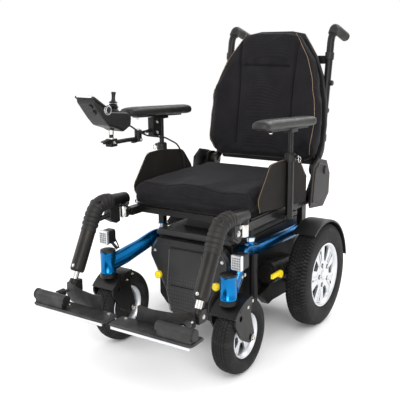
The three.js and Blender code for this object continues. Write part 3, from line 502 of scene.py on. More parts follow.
def rounded_path(corners, bend, steps=8):
    """The corners joined by straight runs, each inner corner turned through an arc."""
    corners = [Vector(c) for c in corners]
    path = [corners[0]]
    for before, here, after in zip(corners, corners[1:], corners[2:]):
        back, ahead = (before - here), (after - here)
        turn = math.pi - back.angle(ahead)
        reach = min(bend * math.tan(turn / 2), 0.48 * back.length, 0.48 * ahead.length)
        start, end = here + back.normalized() * reach, here + ahead.normalized() * reach
        if turn < 0.02:
            path.append(here)
            continue
        for k in range(steps + 1):
            path.append(curve(start, here, end, k / steps))
    path.append(corners[-1])
    return path


def sweep(solid, path, radius, sides=24):
    """A round bar along a path. Its radius (mm) is a number or a function of the path's fraction."""
    frames, lengths = frame_along(path), runs(path)
    vertices = []
    for point, (side, up), run in zip(path, frames, lengths):
        r = (radius(run / lengths[-1]) if callable(radius) else radius) * MM
        for k in range(sides):
            a = TAU * k / sides
            vertices.append(point + side * r * math.cos(a) + up * r * math.sin(a))
    faces = [tuple(range(sides)), tuple((len(path) - 1) * sides + k for k in reversed(range(sides)))]
    for i in range(len(path) - 1):
        for k in range(sides):
            k2 = (k + 1) % sides
            faces.append((i * sides + k, (i + 1) * sides + k, (i + 1) * sides + k2, i * sides + k2))
    return solid.shell(vertices, faces)


def bar(solid, start, end, radius, sides=24):
    return sweep(solid, [Vector(start), Vector(end)], radius, sides)


def sleeve(solid, path, outer, inner, sides=24):
    """A hollow tube along a path. outer and inner are mm, outer a function of the path's fraction."""
    frames, lengths = frame_along(path), runs(path)
    rings = []
    count = len(path)
    for i in list(range(count)) + list(reversed(range(count))):
        r = (outer(lengths[i] / lengths[-1]) if len(rings) < count else inner) * MM
        side, up = frames[i]
        rings.append([
            path[i] + side * r * math.cos(TAU * k / sides) + up * r * math.sin(TAU * k / sides)
            for k in range(sides)
        ])
    return loop_rings(solid, rings, True)


def loop_rings(solid, rings, closed=False):
    """Joins rings of equal size; closed joins the last ring to the first, else the ends are capped."""
    sides, count = len(rings[0]), len(rings)
    vertices = [v for ring in rings for v in ring]
    faces = []
    for i in range(count if closed else count - 1):
        j = (i + 1) % count
        for k in range(sides):
            k2 = (k + 1) % sides
            faces.append((i * sides + k, j * sides + k, j * sides + k2, i * sides + k2))
    if not closed:
        faces += [tuple(range(sides)), tuple((count - 1) * sides + k for k in reversed(range(sides)))]
    return solid.shell(vertices, faces)


AXES = {"X": ((0, 1, 0), (0, 0, 1), (1, 0, 0)), "Z": ((1, 0, 0), (0, 1, 0), (0, 0, 1))}


def revolve(solid, profile, axis, centre, segments=48, closed=False):
    """Turns (radius, along) millimetres about an axis through centre.

    The axis is a key of AXES or what facing gives. A closed profile makes a ring.
    """
    u, v, w = (Vector(a) for a in AXES[axis]) if isinstance(axis, str) else axis
    centre = Vector(centre)
    rings = []
    for radius, along in profile:
        ring = []
        for k in range(segments):
            a = TAU * k / segments
            spoke = u * math.cos(a) + v * math.sin(a)
            ring.append(centre + spoke * max(radius * MM, NEARLY_ZERO) + w * (along * MM))
        rings.append(ring)
    return loop_rings(solid, rings, closed)


def box_of(solid, corner, other):
    (x0, x1), (y0, y1), (z0, z1) = (sorted(pair) for pair in zip(corner, other))
    vertices = [(x, y, z) for x in (x0, x1) for y in (y0, y1) for z in (z0, z1)]
    faces = [(0, 1, 3, 2), (4, 6, 7, 5), (0, 4, 5, 1), (2, 3, 7, 6), (0, 2, 6, 4), (1, 5, 7, 3)]
    return solid.shell(vertices, faces)


def plate(solid, outline, origin, u, v, thick):
    """A flat plate: an outline in millimetres of u and v from origin, thickened along u x v."""
    u, v, origin = Vector(u), Vector(v), Vector(origin)
    w = u.cross(v).normalized() * (thick * MM)
    count = len(outline)
    base = [origin + u * (a * MM) + v * (b * MM) for a, b in outline]
    faces = [tuple(reversed(range(count))), tuple(range(count, 2 * count))]
    faces += [(k, (k + 1) % count, count + (k + 1) % count, count + k) for k in range(count)]
    return solid.shell(base + [p + w for p in base], faces)


# The two directions of a plate that stands along the chair.
UPRIGHT = ((0, 1, 0), (0, 0, 1))


def bolt(solid, centre, direction, radius, height):
    """A domed hexagon-socket head on a washer."""
    profile = [(0, 0), (radius * 1.25, 0), (radius * 1.25, height * 0.25), (radius, height * 0.3),
               (radius * 0.95, height * 0.8), (radius * 0.6, height), (radius * 0.45, height),
               (radius * 0.42, height * 0.6), (0, height * 0.6)]
    return revolve(solid, profile, facing(direction), centre, 16)


def facing(direction):
    """Two directions square to the given one, and it."""
    w = Vector(direction).normalized()
    u = w.cross(Vector((0, 0, 1)) if abs(w.z) < 0.9 else Vector((1, 0, 0))).normalized()
    return (u, w.cross(u), w)


# ---------------------------------------------------------------- places on the chair
# Drawn in millimetres from the rear axle's line: x outwards, y rearwards, z up from the ground.
def at(x, y, z, side=1):
    return Vector((side * x * MM, y * MM + AXLE_Y, z * MM))


def line(points, side=1):
    return [at(*p, side) for p in points]


BACK_TILT = math.radians(9)
BACK_PIVOT = (92, 520)
LEG_X = 220
KNEE = (-560, 474)
LEG_SLOPE = math.radians(62.4)
LEG_DOWN = Vector((0, -math.cos(LEG_SLOPE), -math.sin(LEG_SLOPE)))


def lean(x, out, up):
    """A point of the leaning backrest: out is rearwards from its pivot, up is along the panel."""
    y = BACK_PIVOT[0] + out * math.cos(BACK_TILT) + up * math.sin(BACK_TILT)
    z = BACK_PIVOT[1] - out * math.sin(BACK_TILT) + up * math.cos(BACK_TILT)
    return at(x, y, z)


LEAN_BACK = (lean(0, 1, 0) - lean(0, 0, 0)).normalized()
LEAN_UP = (lean(0, 0, 1) - lean(0, 0, 0)).normalized()


def down_leg(distance, side, out=0):
    """A point down the legrest's tube from the knee, and out from its middle towards the front."""
    y = KNEE[0] + LEG_DOWN.y * distance + LEG_DOWN.z * out
    z = KNEE[1] + LEG_DOWN.z * distance - LEG_DOWN.y * out
    return at(LEG_X, y, z, side)


# ---------------------------------------------------------------- the leads
LEAD_RADIUS = 2.8
LAMP_LEAD_RADIUS = 2.2


def dense_line(path, spacing):
    dense = [path[0]]
    for a, b in zip(path, path[1:]):
        steps = max(1, round((b - a).length / spacing))
        dense += [a.lerp(b, k / steps) for k in range(1, steps + 1)]
    return dense


def smooth_line(corners, bend, spacing=0.004):
    """A rounded path with points close enough together to carry its real length."""
    return dense_line(rounded_path(corners, bend, 12), spacing)


def make_lead():
    """From the pod's tail to the swing clamp, then past the guard down to the battery box's lid."""
    pod_run = line([(241, -393, 701), (240, -381, 697), (229, -366, 686), (221, -346, 670)], -1)
    chair = line([(221, -346, 670), (221, -300, 652), (221, -200, 634), (221, -130, 604), (221, -95, 560),
                  (221, -86, 500), (221, -86, 402), (212, -84, 391), (150, -72, 392), (108, -62, 388),
                  (108, -62, 366.4)], -1)
    first, second = smooth_line(pod_run, 0.05), smooth_line(chair, 0.08)
    pieces = []
    for name, path in (("joystick_lead_front", first), ("joystick_lead_rear", second)):
        pieces.append(sweep(Solid(), path, LEAD_RADIUS, 12).loose(name, "cable", "cable"))
    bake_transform(pieces[0], "joystick_arm", "armrest_right", first[0], first[-1])
    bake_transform(pieces[1], "armrest_right", "chassis", at(221, -150, 620, -1), at(221, -90, 470, -1))
    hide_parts("joystick_lead")
    relief = Solid()
    sweep(relief, [first[0] + Vector((0, -0.004, 0.003)), first[2]], lambda t: 6.2 - 2.8 * t, 16)
    relief.piece("lead_relief_pod", "grip_rubber", "joystick_arm")
    boot = Solid()
    sweep(boot, [second[-1] + Vector((0, 0, 0.0002)), second[-1] + Vector((0, 0, 0.014))],
          lambda t: 7.2 - 3.8 * t, 16)
    boot.piece("lead_relief_box", "grip_rubber", "chassis")


def lamp_lead(side_name, g):
    """Out of the lamp's back in an open loop, then down into the painted arm."""
    loop = line([(249, -467.6, 350), (249, -461, 350), (248, -452, 342), (243, -450, 328), (231, -454, 314),
                 (223, -460, 308)], g)
    path = smooth_line(loop, 0.03, 0.003)
    piece = sweep(Solid(), path, LAMP_LEAD_RADIUS, 14).loose("lamp_lead_" + side_name, "cable", "cable")
    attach(piece, "chassis")
    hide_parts("headlight_lead_" + side_name)
    relief = Solid()
    sweep(relief, [path[0] + Vector((0, -0.003, 0)), path[0] + Vector((0, 0.008, 0))],
          lambda t: 5.4 - 2.2 * t, 16)
    relief.piece("lamp_relief_" + side_name, "grip_rubber", "chassis")


make_lead()
for side_name, g in SIDES:
    lamp_lead(side_name, g)


# ---------------------------------------------------------------- wheels
def tread_ring(columns, drops, step):
    """Radii of one ring of the tread: a column falls by its group's drop where it is staggered."""
    ring = []
    for across, radius, group in columns:
        low = group in drops and staggered(group, across < 0, step)
        ring.append((radius - (drops[group] if low else 0), across))
    return ring


def mirrored(columns):
    """Columns of the tread are (across, radius, group); the second half is the first one's mirror image."""
    return columns + [(-a, r, g) for a, r, g in reversed(columns)]


def around(centre, out, radius, turn):
    """A point beside a wheel: out along its axle, radius from it in the direction of turn."""
    return centre + Vector((out * MM, radius * MM * math.cos(turn), radius * MM * math.sin(turn)))


def tyre(node, columns, drops, steps, body):
    centre = middle(node)
    rings = []
    for i in range(steps):
        turn = TAU * i / steps
        rings.append([around(centre, a, r, turn) for r, a in tread_ring(columns, drops, i)])
    solid = loop_rings(Solid(), rings, True)
    solid.piece(node + "_tread", "tyre_rubber", body, angle=38, stands_for=[node])


def staggered(group, left, step):
    shift = {"shoulder": 0, "outer": 2, "centre": 1}[group] + (2 if left else 0)
    return (step + shift) % 4 == 0


DRIVE_COLUMNS = mirrored([
    (-30, 108.4, ""), (-34.5, 115, ""), (-37, 124, ""), (-38, 136, ""), (-37.8, 149, ""), (-36, 160, ""),
    (-33, 167, "shoulder"), (-28.5, 171.8, "shoulder"), (-23, 174.4, "shoulder"),
    (-22.3, 170.8, ""), (-20.7, 170.8, ""), (-20, 175, "outer"), (-12, 175.8, "outer"),
    (-11.4, 172, ""), (-9.6, 172, ""), (-9, 176, "centre"), (-1.3, 176, "centre"), (-0.9, 172.5, ""),
])
CASTER_COLUMNS = mirrored([
    (-20, 67.4, ""), (-26.5, 73, ""), (-31, 81, ""), (-32.5, 90, ""), (-31.4, 99, ""), (-28, 106.5, ""),
    (-23.5, 110.6, "shoulder"), (-18, 113.2, "shoulder"), (-17.4, 111.2, ""), (-15.9, 111.2, ""),
    (-15.3, 113.9, "outer"), (-8.6, 114.7, "outer"), (-8, 112.6, ""), (-6.6, 112.6, ""),
    (-6, 115, "centre"), (-0.9, 115, "centre"), (-0.5, 113, ""),
])


SPOKES = 5
SPOKE_TURNS = [TAU * (i + 0.5) / SPOKES for i in range(SPOKES)]
DRIVE_HUB = (260, 0, 176)
CASTER_HUB = (220.5, -456, 115)


def ring_of(solid, profile, centre, segments):
    """A closed profile of (radius, outwards) millimetres turned about the wheel's axle."""
    return revolve(solid, profile, "X", centre, segments, True)


def disc_of(solid, profile, centre, g, segments=48):
    """A profile of (radius, outwards) millimetres turned into a solid about a line across the chair."""
    return revolve(solid, [(r, g * x) for r, x in profile], "X", centre, segments)


def spokes(solid, centre, side, outline, low, high, phase):
    """Flat spokes that widen outwards: outline is (radius, half width) pairs."""
    for i in range(SPOKES):
        turn = TAU * (i + phase) / SPOKES
        u = Vector((0, math.cos(turn), math.sin(turn)))
        v = Vector((0, -math.sin(turn), math.cos(turn)))
        flat = [(r, -h) for r, h in outline] + [(r, h) for r, h in reversed(outline)]
        plate(solid, flat, around(centre, side * low, 0, 0), u, v, side * (high - low))


def drive_wheel(side_name, g):
    """The tyre with its tread and the rim: spokes with ridges, hub, cap, painted shade in its recesses and bolts.
    """
    node = "drive_rim_" + side_name
    body = "drive_wheel_" + side_name
    tyre("drive_tyre_" + side_name, DRIVE_COLUMNS, {"shoulder": 6.5, "outer": 5, "centre": 4}, 352, body)
    c = at(*DRIVE_HUB, g)
    rim = Solid()
    ring_of(rim, [(108, -30), (109.6, -34), (106, -36), (101, -33), (96, -20), (95, 10), (96, 20),
                  (101, 31), (105, 34.5), (109.6, 34), (108, 30)], c, 96)
    spokes(rim, c, g, [(34, 19), (60, 27), (97, 42)], 17, 26, 0.5)
    disc_of(rim, [(0, 12), (47, 12), (48, 14), (48, 25), (45, 28.4), (24, 29.4),
                  (0, 29.4)], c, g, 72)
    rim.piece(node + "_face", "alloy", body, 0.0012, 30, [node])
    ridge = Solid()
    for turn_shift in (-0.075, 0.075):
        spokes(ridge, c, g, [(50, 2.2), (92, 3.4)], 26.2, 28.6, 0.5 + turn_shift)
    ridge.piece(node + "_ridges", "alloy", body, 0.001)
    cap = Solid()
    disc_of(cap, [(0, 29), (19, 29), (20, 31), (17, 34.5), (10, 36), (0, 36)], c, g)
    cap.piece(node + "_cap", "alloy", body)
    # Painted shade: the black disc behind the spokes stands for the dark motor side and the shadow in the
    # windows; the black rings round the bolt holes and the black slots near the rim are recesses in shadow.
    dark = Solid()
    disc_of(dark, [(0, 2), (94.6, 2), (94.6, 6), (0, 6)], c, g)
    for turn in SPOKE_TURNS:
        hole = around(c, 0, 35, turn)
        disc_of(dark, [(0, 28), (8.4, 28), (8.4, 29.6), (7.2, 30.2), (0, 30.2)], hole, g, 24)
        u, v = Vector((0, math.cos(turn), math.sin(turn))), Vector((0, -math.sin(turn), math.cos(turn)))
        plate(dark, [(-7, -3), (7, -3.6), (7, 3.6), (-7, 3)], around(c, g * 24, 86, turn), u, v, g * 2.5)
    dark.piece(node + "_recess_shade", "black_plastic", body, 0.0003)
    bolts = Solid()
    for turn in SPOKE_TURNS:
        bolt(bolts, around(c, g * 30, 35, turn), (g, 0, 0), 4.2, 3)
    bolts.piece(node + "_bolts", "steel", body)


def caster(side_name, g):
    """The caster's tyre and rim, its fork and the bolts of both."""
    body = "caster_wheel_" + side_name
    node = "caster_rim_" + side_name
    tyre("caster_tyre_" + side_name, CASTER_COLUMNS, {"shoulder": 2.6, "outer": 2, "centre": 1.6}, 256, body)
    c = at(*CASTER_HUB, g)
    rim = Solid()
    ring_of(rim, [(67, -20), (68.4, -23), (66, -25), (62, -23), (57, -13), (56, 0), (57, 13), (62, 22),
                  (66, 25), (68.4, 23), (67, 20)], c, 84)
    spokes(rim, c, g, [(12, 7), (32, 8), (58, 15)], 2, 10, 0.25)
    disc_of(rim, [(7, -26), (15, -26), (17, -23), (18, 2), (24, 4), (24, 11),
                  (17, 13), (17, 24), (15, 26), (7, 26)], c, g)
    rim.piece(node + "_face", "alloy", body, 0.001, 30, [node])
    # Painted shade: a black disc behind the spokes makes the windows between them dark as shadow.
    shade_disc = Solid()
    disc_of(shade_disc, [(0, -4), (55.8, -4), (55.8, -1), (0, -1)], c, g)
    shade_disc.piece(node + "_backing", "black_plastic", body)
    reskin("caster_fork_" + side_name, "black_paint", 0.0022)
    hardware = Solid()
    for out in (-1, 1):
        bolt(hardware, around(c, out * 46, 0, 0), (out, 0, 0), 8, 6)
        for y, z in ((-478, 214), (-452, 226)):
            spot = around(at(CASTER_HUB[0], y, z, g), out * 42.6, 0, 0)
            bolt(hardware, spot, (out, 0, 0), 4, 2.6)
    hardware.piece("caster_bolts_" + side_name, "steel", "caster_swivel_" + side_name)


# ---------------------------------------------------------------- painted frame
BARREL = (220.5, -516)
BEAM_X = 166


def barrel(solid, g):
    profile = [(0, 242), (23.5, 242), (25, 243.5), (25, 249), (24.4, 250), (24.4, 304), (25, 305),
               (25, 310.5), (23.5, 312), (0, 312)]
    revolve(solid, profile, "Z", at(*BARREL, 0, g), 48)


def frame_pieces():
    """The blue arms and beams with the caster barrels, and the dark posts that hang from them."""
    paint, posts, caps, trim = Solid(), Solid(), Solid(), Solid()
    for _, g in SIDES:
        barrel(paint, g)
        arm = rounded_path(line([(220.5, -508, 270), (204, -456, 284), (172, -364, 318)], g), 0.05, 8)
        sweep(paint, arm, lambda t: 25.6 - 5 * max(0, t - 0.7) / 0.3, 40)
        beam = line([(190, -412, 302), (BEAM_X, -336, 332), (BEAM_X, -262, 316), (BEAM_X, 130, 306)], g)
        sweep(paint, rounded_path(beam, 0.07, 12), 20, 40)
        bar(paint, at(BEAM_X, -298, 320, g), at(BEAM_X, -298, 366, g), 14, 32)
        bar(posts, at(BEAM_X, -270, 306, g), at(BEAM_X, -270, 92, g), 13)
        bar(posts, at(BEAM_X, 112, 300, g), at(BEAM_X, 112, 92, g), 13)
        cap = [(0, 311), (23.6, 311), (24.6, 313.5), (23.5, 317.5), (20, 319), (0, 319.3)]
        revolve(caps, cap, "Z", at(*BARREL, 0, g), 40)
        plug = [(0, 0), (21.4, 0), (21.4, 6), (19.5, 8), (0, 8)]
        revolve(posts, plug, facing((0, 1, 0)), at(BEAM_X, 126, 306, g), 32)
        collar = [(14.2, 352), (16.8, 352), (16.8, 363), (14.2, 363)]
        revolve(trim, collar, "Z", at(BEAM_X, -298, 0, g), 32, True)
        for x, y, z in ((228, -452, 290), (231, -442, 294)):
            bolt(trim, at(x, y, z, g), (g, 0, 0), 4.2, 3)
    for y in (-270, 112):
        bar(posts, at(-178, y, 90), at(178, y, 90), 12)
    paint.piece("frame_paint", "blue_paint", "chassis", 0.0, 40, ["chassis_frame"])
    posts.piece("frame_posts", "black_paint", "chassis")
    caps.piece("barrel_caps", "black_plastic", "chassis")
    trim.piece("frame_trim", "steel", "chassis")


# ---------------------------------------------------------------- legrests
def bellows(side_name, g):
    """A ribbed cover from the hanger's tube round the knee to the leg's tube."""
    start, corner, end = at(LEG_X, -512, 471.4, g), at(LEG_X, -560, 476, g), down_leg(46, g)
    bend = [curve(start, corner, end, k / 24) for k in range(25)]
    path = dense_line([at(LEG_X, -498, 470.6, g)] + bend + [down_leg(86, g)], 0.0015)
    ribs = 8

    def radius(t):
        if t < 0.1:
            return 22.6 + 1.8 * min(1, t * 30)
        groove_depth = max(0, math.cos(TAU * ribs * (t - 0.1) / 0.8)) ** 4 if t < 0.9 else 1 - (t - 0.9) * 6
        return 25 - 3.2 * groove_depth

    solid = sleeve(Solid(), path, radius, 20.6, 36)
    piece = solid.loose("knee_cover_" + side_name, "grip_rubber", "tyre_rubber")
    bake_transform(piece, "hanger_" + side_name, "legrest_" + side_name, at(LEG_X, -522, 472, g), down_leg(40, g))
    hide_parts("knee_bellows_" + side_name)


def hanger(side_name, g):
    """The tube from the seat frame to the knee, its latch block and the release lever."""
    body = "hanger_" + side_name
    tube = Solid()
    tail = [at(LEG_X, -418 - k, 466.2, g) for k in (0, 1.5, 4, 9)]
    path = tail + [at(LEG_X, -500, 470.6, g), at(LEG_X, -530, 472, g)]
    sweep(tube, path, lambda t: 20 * min(1, 0.62 + t * 9), 36)
    bar(tube, at(LEG_X, -434, 445, g), at(LEG_X, -434, 468, g), 17, 32)
    tube.piece("hanger_tube_" + side_name, "black_paint", body, 0, 40, ["legrest_hanger_" + side_name])
    block = Solid()
    outline = [(-512, 412), (-484, 397), (-466, 401), (-466, 458), (-512, 462)]
    plate(block, outline, at(207, 0, 0, g), *UPRIGHT, g * 26)
    inner = [(-507, 420), (-484, 406), (-471, 409), (-471, 450), (-507, 453)]
    plate(block, inner, at(233, 0, 0, g), *UPRIGHT, g * 3)
    block.piece("hanger_block_" + side_name, "black_plastic", body, 0.0028)
    fittings = Solid()
    bolt(fittings, at(236, -488, 428, g), (g, 0, 0), 7, 4)
    bolt(fittings, at(236, -476, 444, g), (g, 0, 0), 4.5, 3)
    fittings.piece("hanger_fittings_" + side_name, "steel", body)
    lever = Solid()
    sweep(lever, line([(216, -506, 428), (216, -552, 425), (216, -556, 424.6), (216, -558, 424.4)], g),
          lambda t: 7.5 if t < 0.9 else 7.5 - 3 * (t - 0.9) / 0.1, 24)
    hub = [(0, 0), (13, 0), (14, 2), (14, 26), (13, 28), (0, 28)]
    revolve(lever, hub, facing((g, 0, 0)), at(206, -500, 428, g), 32)
    sweep(lever, rounded_path(line([(204, -440, 456), (190, -446, 458), (176, -470, 460)], g), 0.01), 5, 16)
    lever.piece("hanger_lever_" + side_name, "black_plastic", body, 0.001)


def leg(side_name, g):
    """The legrest's tube and, sliding in it, the extension's rod with its clamp and pin."""
    tube = Solid()
    path = [down_leg(d, g) for d in (46, 60, 130, 200, 208, 211, 212)]
    sweep(tube, path, lambda t: 22 if t < 0.955 else 22 - 4.5 * ((t - 0.955) / 0.045) ** 2, 40)
    knuckle = [(0, -17), (11, -17), (12, -15), (12, 14), (11, 16), (0, 16)]
    disc_of(tube, knuckle, at(LEG_X, *KNEE, g), g, 40)
    tube.piece("leg_tube_" + side_name, "bronze_paint", "legrest_" + side_name, 0, 40,
               ["legrest_tube_" + side_name], slot="black_paint")
    fittings = Solid()
    bolt(fittings, down_leg(198, g, 21.6), down_leg(0, g, 1) - down_leg(0, g), 4, 3)
    fittings.piece("leg_screw_" + side_name, "steel", "legrest_" + side_name)
    body = "extension_" + side_name
    rod = Solid()
    sweep(rod, [down_leg(150, g), down_leg(248, g)], 10, 32)
    rod.piece("extension_rod_" + side_name, "steel", body, 0, 32, ["legrest_extension_" + side_name])
    clamp = Solid()
    sweep(clamp, [down_leg(234, g), down_leg(250, g)], 12.6, 32)
    outline = [(-686, 229), (-686, 252), (-672, 267), (-650, 264), (-650, 229)]
    plate(clamp, outline, at(205, 0, 0, g), *UPRIGHT, g * 30)
    clamp.piece("extension_clamp_" + side_name, "black_paint", body, 0.002)
    pin = Solid()
    bar(pin, at(LEG_X, -730, 240, g), at(LEG_X, -680, 240, g), 5)
    bolt(pin, at(235, -666, 246, g), (g, 0, 0), 5, 3.5)
    pin.piece("extension_pin_" + side_name, "steel", body)


def footplate(side_name, g):
    """The speckled plate with a bright strip along its front edge, its screws and the bar's end button."""
    body = "footboard_" + side_name
    reskin("footplate_" + side_name, "footboard", 0.0016)
    strip = Solid()
    box_of(strip, at(16, -784, 204.4, g), at(268, -779, 212.6, g))
    strip.piece("footplate_edge_" + side_name, "alloy", body, 0.0012)
    screws = Solid()
    for x, y in ((172, -742), (262, -742), (30, -735)):
        bolt(screws, at(x, y, 220, g), (0, 0, 1), 4.4, 3)
    bolt(screws, at(LEG_X, -741, 240, g), (0, -1, 0), 6.5, 4)
    screws.piece("footplate_screws_" + side_name, "steel", body)
    end = Solid()
    button = [(0, 0), (15.2, 0), (16, 1.5), (16, 6), (14.5, 7.5), (0, 7.5)]
    revolve(end, button, facing((g, 0, 0)), at(269, -765, 241, g), 32)
    end.piece("footplate_bar_end_" + side_name, "black_plastic", body)


# ---------------------------------------------------------------- lamps
LAMP = (243, -490, 350)


def lamp(side_name, g):
    """The lamp's case, its bright bezel and the lens with a grid drawn on its front."""
    reskin("headlight_" + side_name, "black_plastic", 0.0018)
    x, y, z = LAMP
    bezel, grid = Solid(), Solid()
    corners = [(g * (x + 17.4 * a), z + 22.4 * b) for a, b in ((-1, -1), (1, -1), (1, 1), (-1, 1))]
    plate(bezel, corners, at(0, y - 10, 0), (1, 0, 0), (0, 0, 1), 12)
    bezel.piece("lamp_bezel_" + side_name, "alloy", "chassis", 0.003)
    reskin("headlight_lens_" + side_name, "lens", 0.002)
    front = (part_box("headlight_lens_" + side_name)[0].y - AXLE_Y) / MM
    for across in (-10.5, -3.5, 3.5, 10.5):
        bar(grid, at(x + across, front, z - 17, g), at(x + across, front, z + 17, g), 0.8, 8)
    for up in (-14, -7, 0, 7, 14):
        bar(grid, at(x - 13, front, z + up, g), at(x + 13, front, z + up, g), 0.8, 8)
    grid.piece("lamp_grid_" + side_name, "lamp_shadow", "chassis")


# ---------------------------------------------------------------- seat, guards, covers
def seat_metal():
    """The seat frame with its bright collars, bolts and pull rings."""
    reskin("seat_frame", "black_paint", 0.0014)
    chrome, knobs = Solid(), Solid()
    for _, g in SIDES:
        profile = [(14.4, 407), (16.2, 407), (16.6, 409), (16.6, 440), (16.2, 442), (14.4, 442)]
        revolve(chrome, profile, "Z", at(LEG_X, -434, 0, g), 40, True)
        band = [(15.2, 590), (17.6, 590), (17.6, 612), (15.2, 612)]
        revolve(knobs, band, "Z", at(245, -188, 0, g), 36, True)
        bolt(chrome, at(238, 40, 540, g), (g, 0, 0), 6, 3.5)
        bolt(chrome, at(238, 112, 470, g), (g, 0, 0), 5, 3)
        centre = at(276, -188, 597, g)
        sweep(chrome, [around(centre, 0, 8.5, TAU * k / 28) for k in range(28)], 1.1, 8)
        bar(chrome, at(262, -188, 606, g), at(272, -188, 606, g), 3.4, 16)
        profile = [(0, 0), (14, 0), (15, 2), (15, 7), (12, 9), (0, 9)]
        revolve(knobs, profile, facing((g, 0, 0)), at(240, *BACK_PIVOT, g), 36)
    chrome.piece("seat_bright_parts", "steel", "chassis")
    knobs.piece("seat_collars", "black_plastic", "chassis", 0.0008)


COVER = [(-20, 405), (90, 392), (138, 430), (142, 500), (112, 550), (40, 566), (0, 540)]
GUARD_EDGE = [(-354, 458), (-369, 494), (-292, 592), (-213, 595), (-88, 580), (-32, 514)]


def shrunk(outline, centre, share):
    """The outline drawn in towards centre, to the given share of its size."""
    return [(centre[0] + (y - centre[0]) * share, centre[1] + (z - centre[1]) * share) for y, z in outline]


def side_panels(side_name, g):
    """The fabric side guard with its piping, and the raised cover over the recline hinge."""
    reskin("side_guard_" + side_name, "side_fabric", 0.0022)
    edge = Solid()
    path = rounded_path(line([(231.2, y, z) for y, z in GUARD_EDGE], g), 0.03, 8)
    sweep(edge, path, 0.65, 10)
    edge.piece("guard_piping_" + side_name, "piping", "chassis")
    cover = Solid()
    field_centre = [sum(values) / len(COVER) for values in zip(*COVER)]
    plate(cover, COVER, at(236, 0, 0, g), *UPRIGHT, g * 5)
    plate(cover, shrunk(COVER, field_centre, 0.8), at(240.5, 0, 0, g), *UPRIGHT, g * 3.5)
    cover.piece("recline_cover_" + side_name, "black_plastic", "chassis", 0.0018)
    seam = Solid()
    small = shrunk(COVER, (56, 482), 0.8)
    path = rounded_path(line([(244.2, y, z) for y, z in small + small[:2]], g), 0.01, 5)
    sweep(seam, path, 0.5, 8)
    seam.piece("recline_cover_line_" + side_name, "piping", "chassis")


def smooth_fender(side_name, g):
    """A curved guard over the wheel with turned-down rims and an inner skirt."""
    c = at(0, 0, DRIVE_HUB[2])
    inner, outer = 218, 296
    section = [(184.5, inner), (188.5, inner - 0.8), (189.3, inner + 6), (189.3, outer - 6), (188, outer),
               (182, outer + 0.5), (182, outer - 1.6), (185.4, outer - 4), (185.4, inner + 4)]
    solid = Solid()
    skirt = [(166, inner), (187, inner), (187, inner + 3), (166, inner + 3)]
    for outline, first, span, steps in ((section, 8, 114, 56), (skirt, 20, 98, 49)):
        turns = [math.radians(first + span * k / steps) for k in range(steps + 1)]
        loop_rings(solid, [[around(c, g * x, r, turn) for r, x in outline] for turn in turns])
    box_of(solid, at(214, -40, 345, g), at(230, 20, 361.4, g))
    solid.piece("fender_" + side_name, "black_plastic", "chassis", 0.0006, 32, ["rear_fender_" + side_name])


# ---------------------------------------------------------------- backrest metalwork
BACK_TUBE_X = 200
BACK_TUBE_OUT = 48.9


def back_metal():
    """The leaning tubes with their hubs, knobs and collars, the two straps between them and the shell."""
    frame_solid, bright, knobs = Solid(), Solid(), Solid()
    for _, g in SIDES:
        corners = ((0, 0), (BACK_TUBE_OUT, 62), (BACK_TUBE_OUT, 452), (72, 494), (176, 481))
        path = rounded_path([lean(g * BACK_TUBE_X, *corner) for corner in corners], 0.055, 12)
        sweep(frame_solid, path, 12.5, 32)
        hub = [(0, 192), (22, 192), (24, 194), (24, 211), (22, 213), (0, 213)]
        disc_of(frame_solid, hub, lean(0, 0, 0), g, 40)
        for up, reach in ((300, 222), (205, 215)):
            knob = [(0, 208), (8, 208), (9.5, 210), (9.5, reach - 2), (8, reach), (0, reach)]
            disc_of(knobs, knob, lean(0, BACK_TUBE_OUT, up), g, 28)
        for up in (380, 96):
            collar = [(12.8, 0), (15.2, 0.5), (15.6, 3), (15.6, 23), (15.2, 25.5), (12.8, 26)]
            revolve(knobs, collar, facing(LEAN_UP), lean(g * BACK_TUBE_X, BACK_TUBE_OUT, up), 36, True)
        bolt(bright, lean(g * 213.4, 0, 0), (g, 0, 0), 7, 4)
    for up in (100, 380):
        low, high = BACK_TUBE_OUT - 3, BACK_TUBE_OUT + 3
        strap = [(low, up - 14), (high, up - 14), (high, up + 14), (low, up + 14)]
        plate(frame_solid, strap, lean(-BACK_TUBE_X, 0, 0), LEAN_BACK, LEAN_UP, 2 * BACK_TUBE_X)
    frame_solid.piece("back_tubes", "black_paint", "backrest", 0.0, 40, ["back_frame"])
    knobs.piece("back_knobs", "black_plastic", "backrest", 0.0008)
    bright.piece("back_bolts", "steel", "backrest")
    reskin("back_shell", "black_plastic", 0.002)


def grip(side_name, g):
    """A ribbed rubber grip over the rearward end of the leaning tube."""
    corners = [lean(g * BACK_TUBE_X, *corner) for corner in ((58, 468), (72, 494), (182, 480.2))]
    path = dense_line(rounded_path(corners, 0.03, 10), 0.002)
    ribs = 22

    def radius(t):
        end = min(1, t * 40) * min(1, (1 - t) * 30) ** 0.5
        return 13.6 + 3.0 * end + 0.5 * math.cos(TAU * ribs * t) * (t > 0.3)

    solid = sweep(Solid(), path, radius, 32)
    solid.piece("hand_grip_" + side_name, "grip_rubber", "backrest", 0, 50, ["push_grip_" + side_name])


# ---------------------------------------------------------------- the joystick
POD_TILT = math.radians(6)
POD_BODY = [(15, -42), (49, -22), (50, 7), (33, 19.6), (-54, 19.6), (-68, 28), (-128, 56), (-126, 42),
            (-81, -2), (-54, -24), (-9, -33)]
POD_PANEL = [(-70, 26), (-126, 52), (-132, 57), (-129, 62), (-70, 34)]
POD_GLASS = [(-77, 36), (-122, 57.4), (-122.6, 59.8), (-77.6, 38.6)]


POD_ORIGIN = (-241, -445, 722)


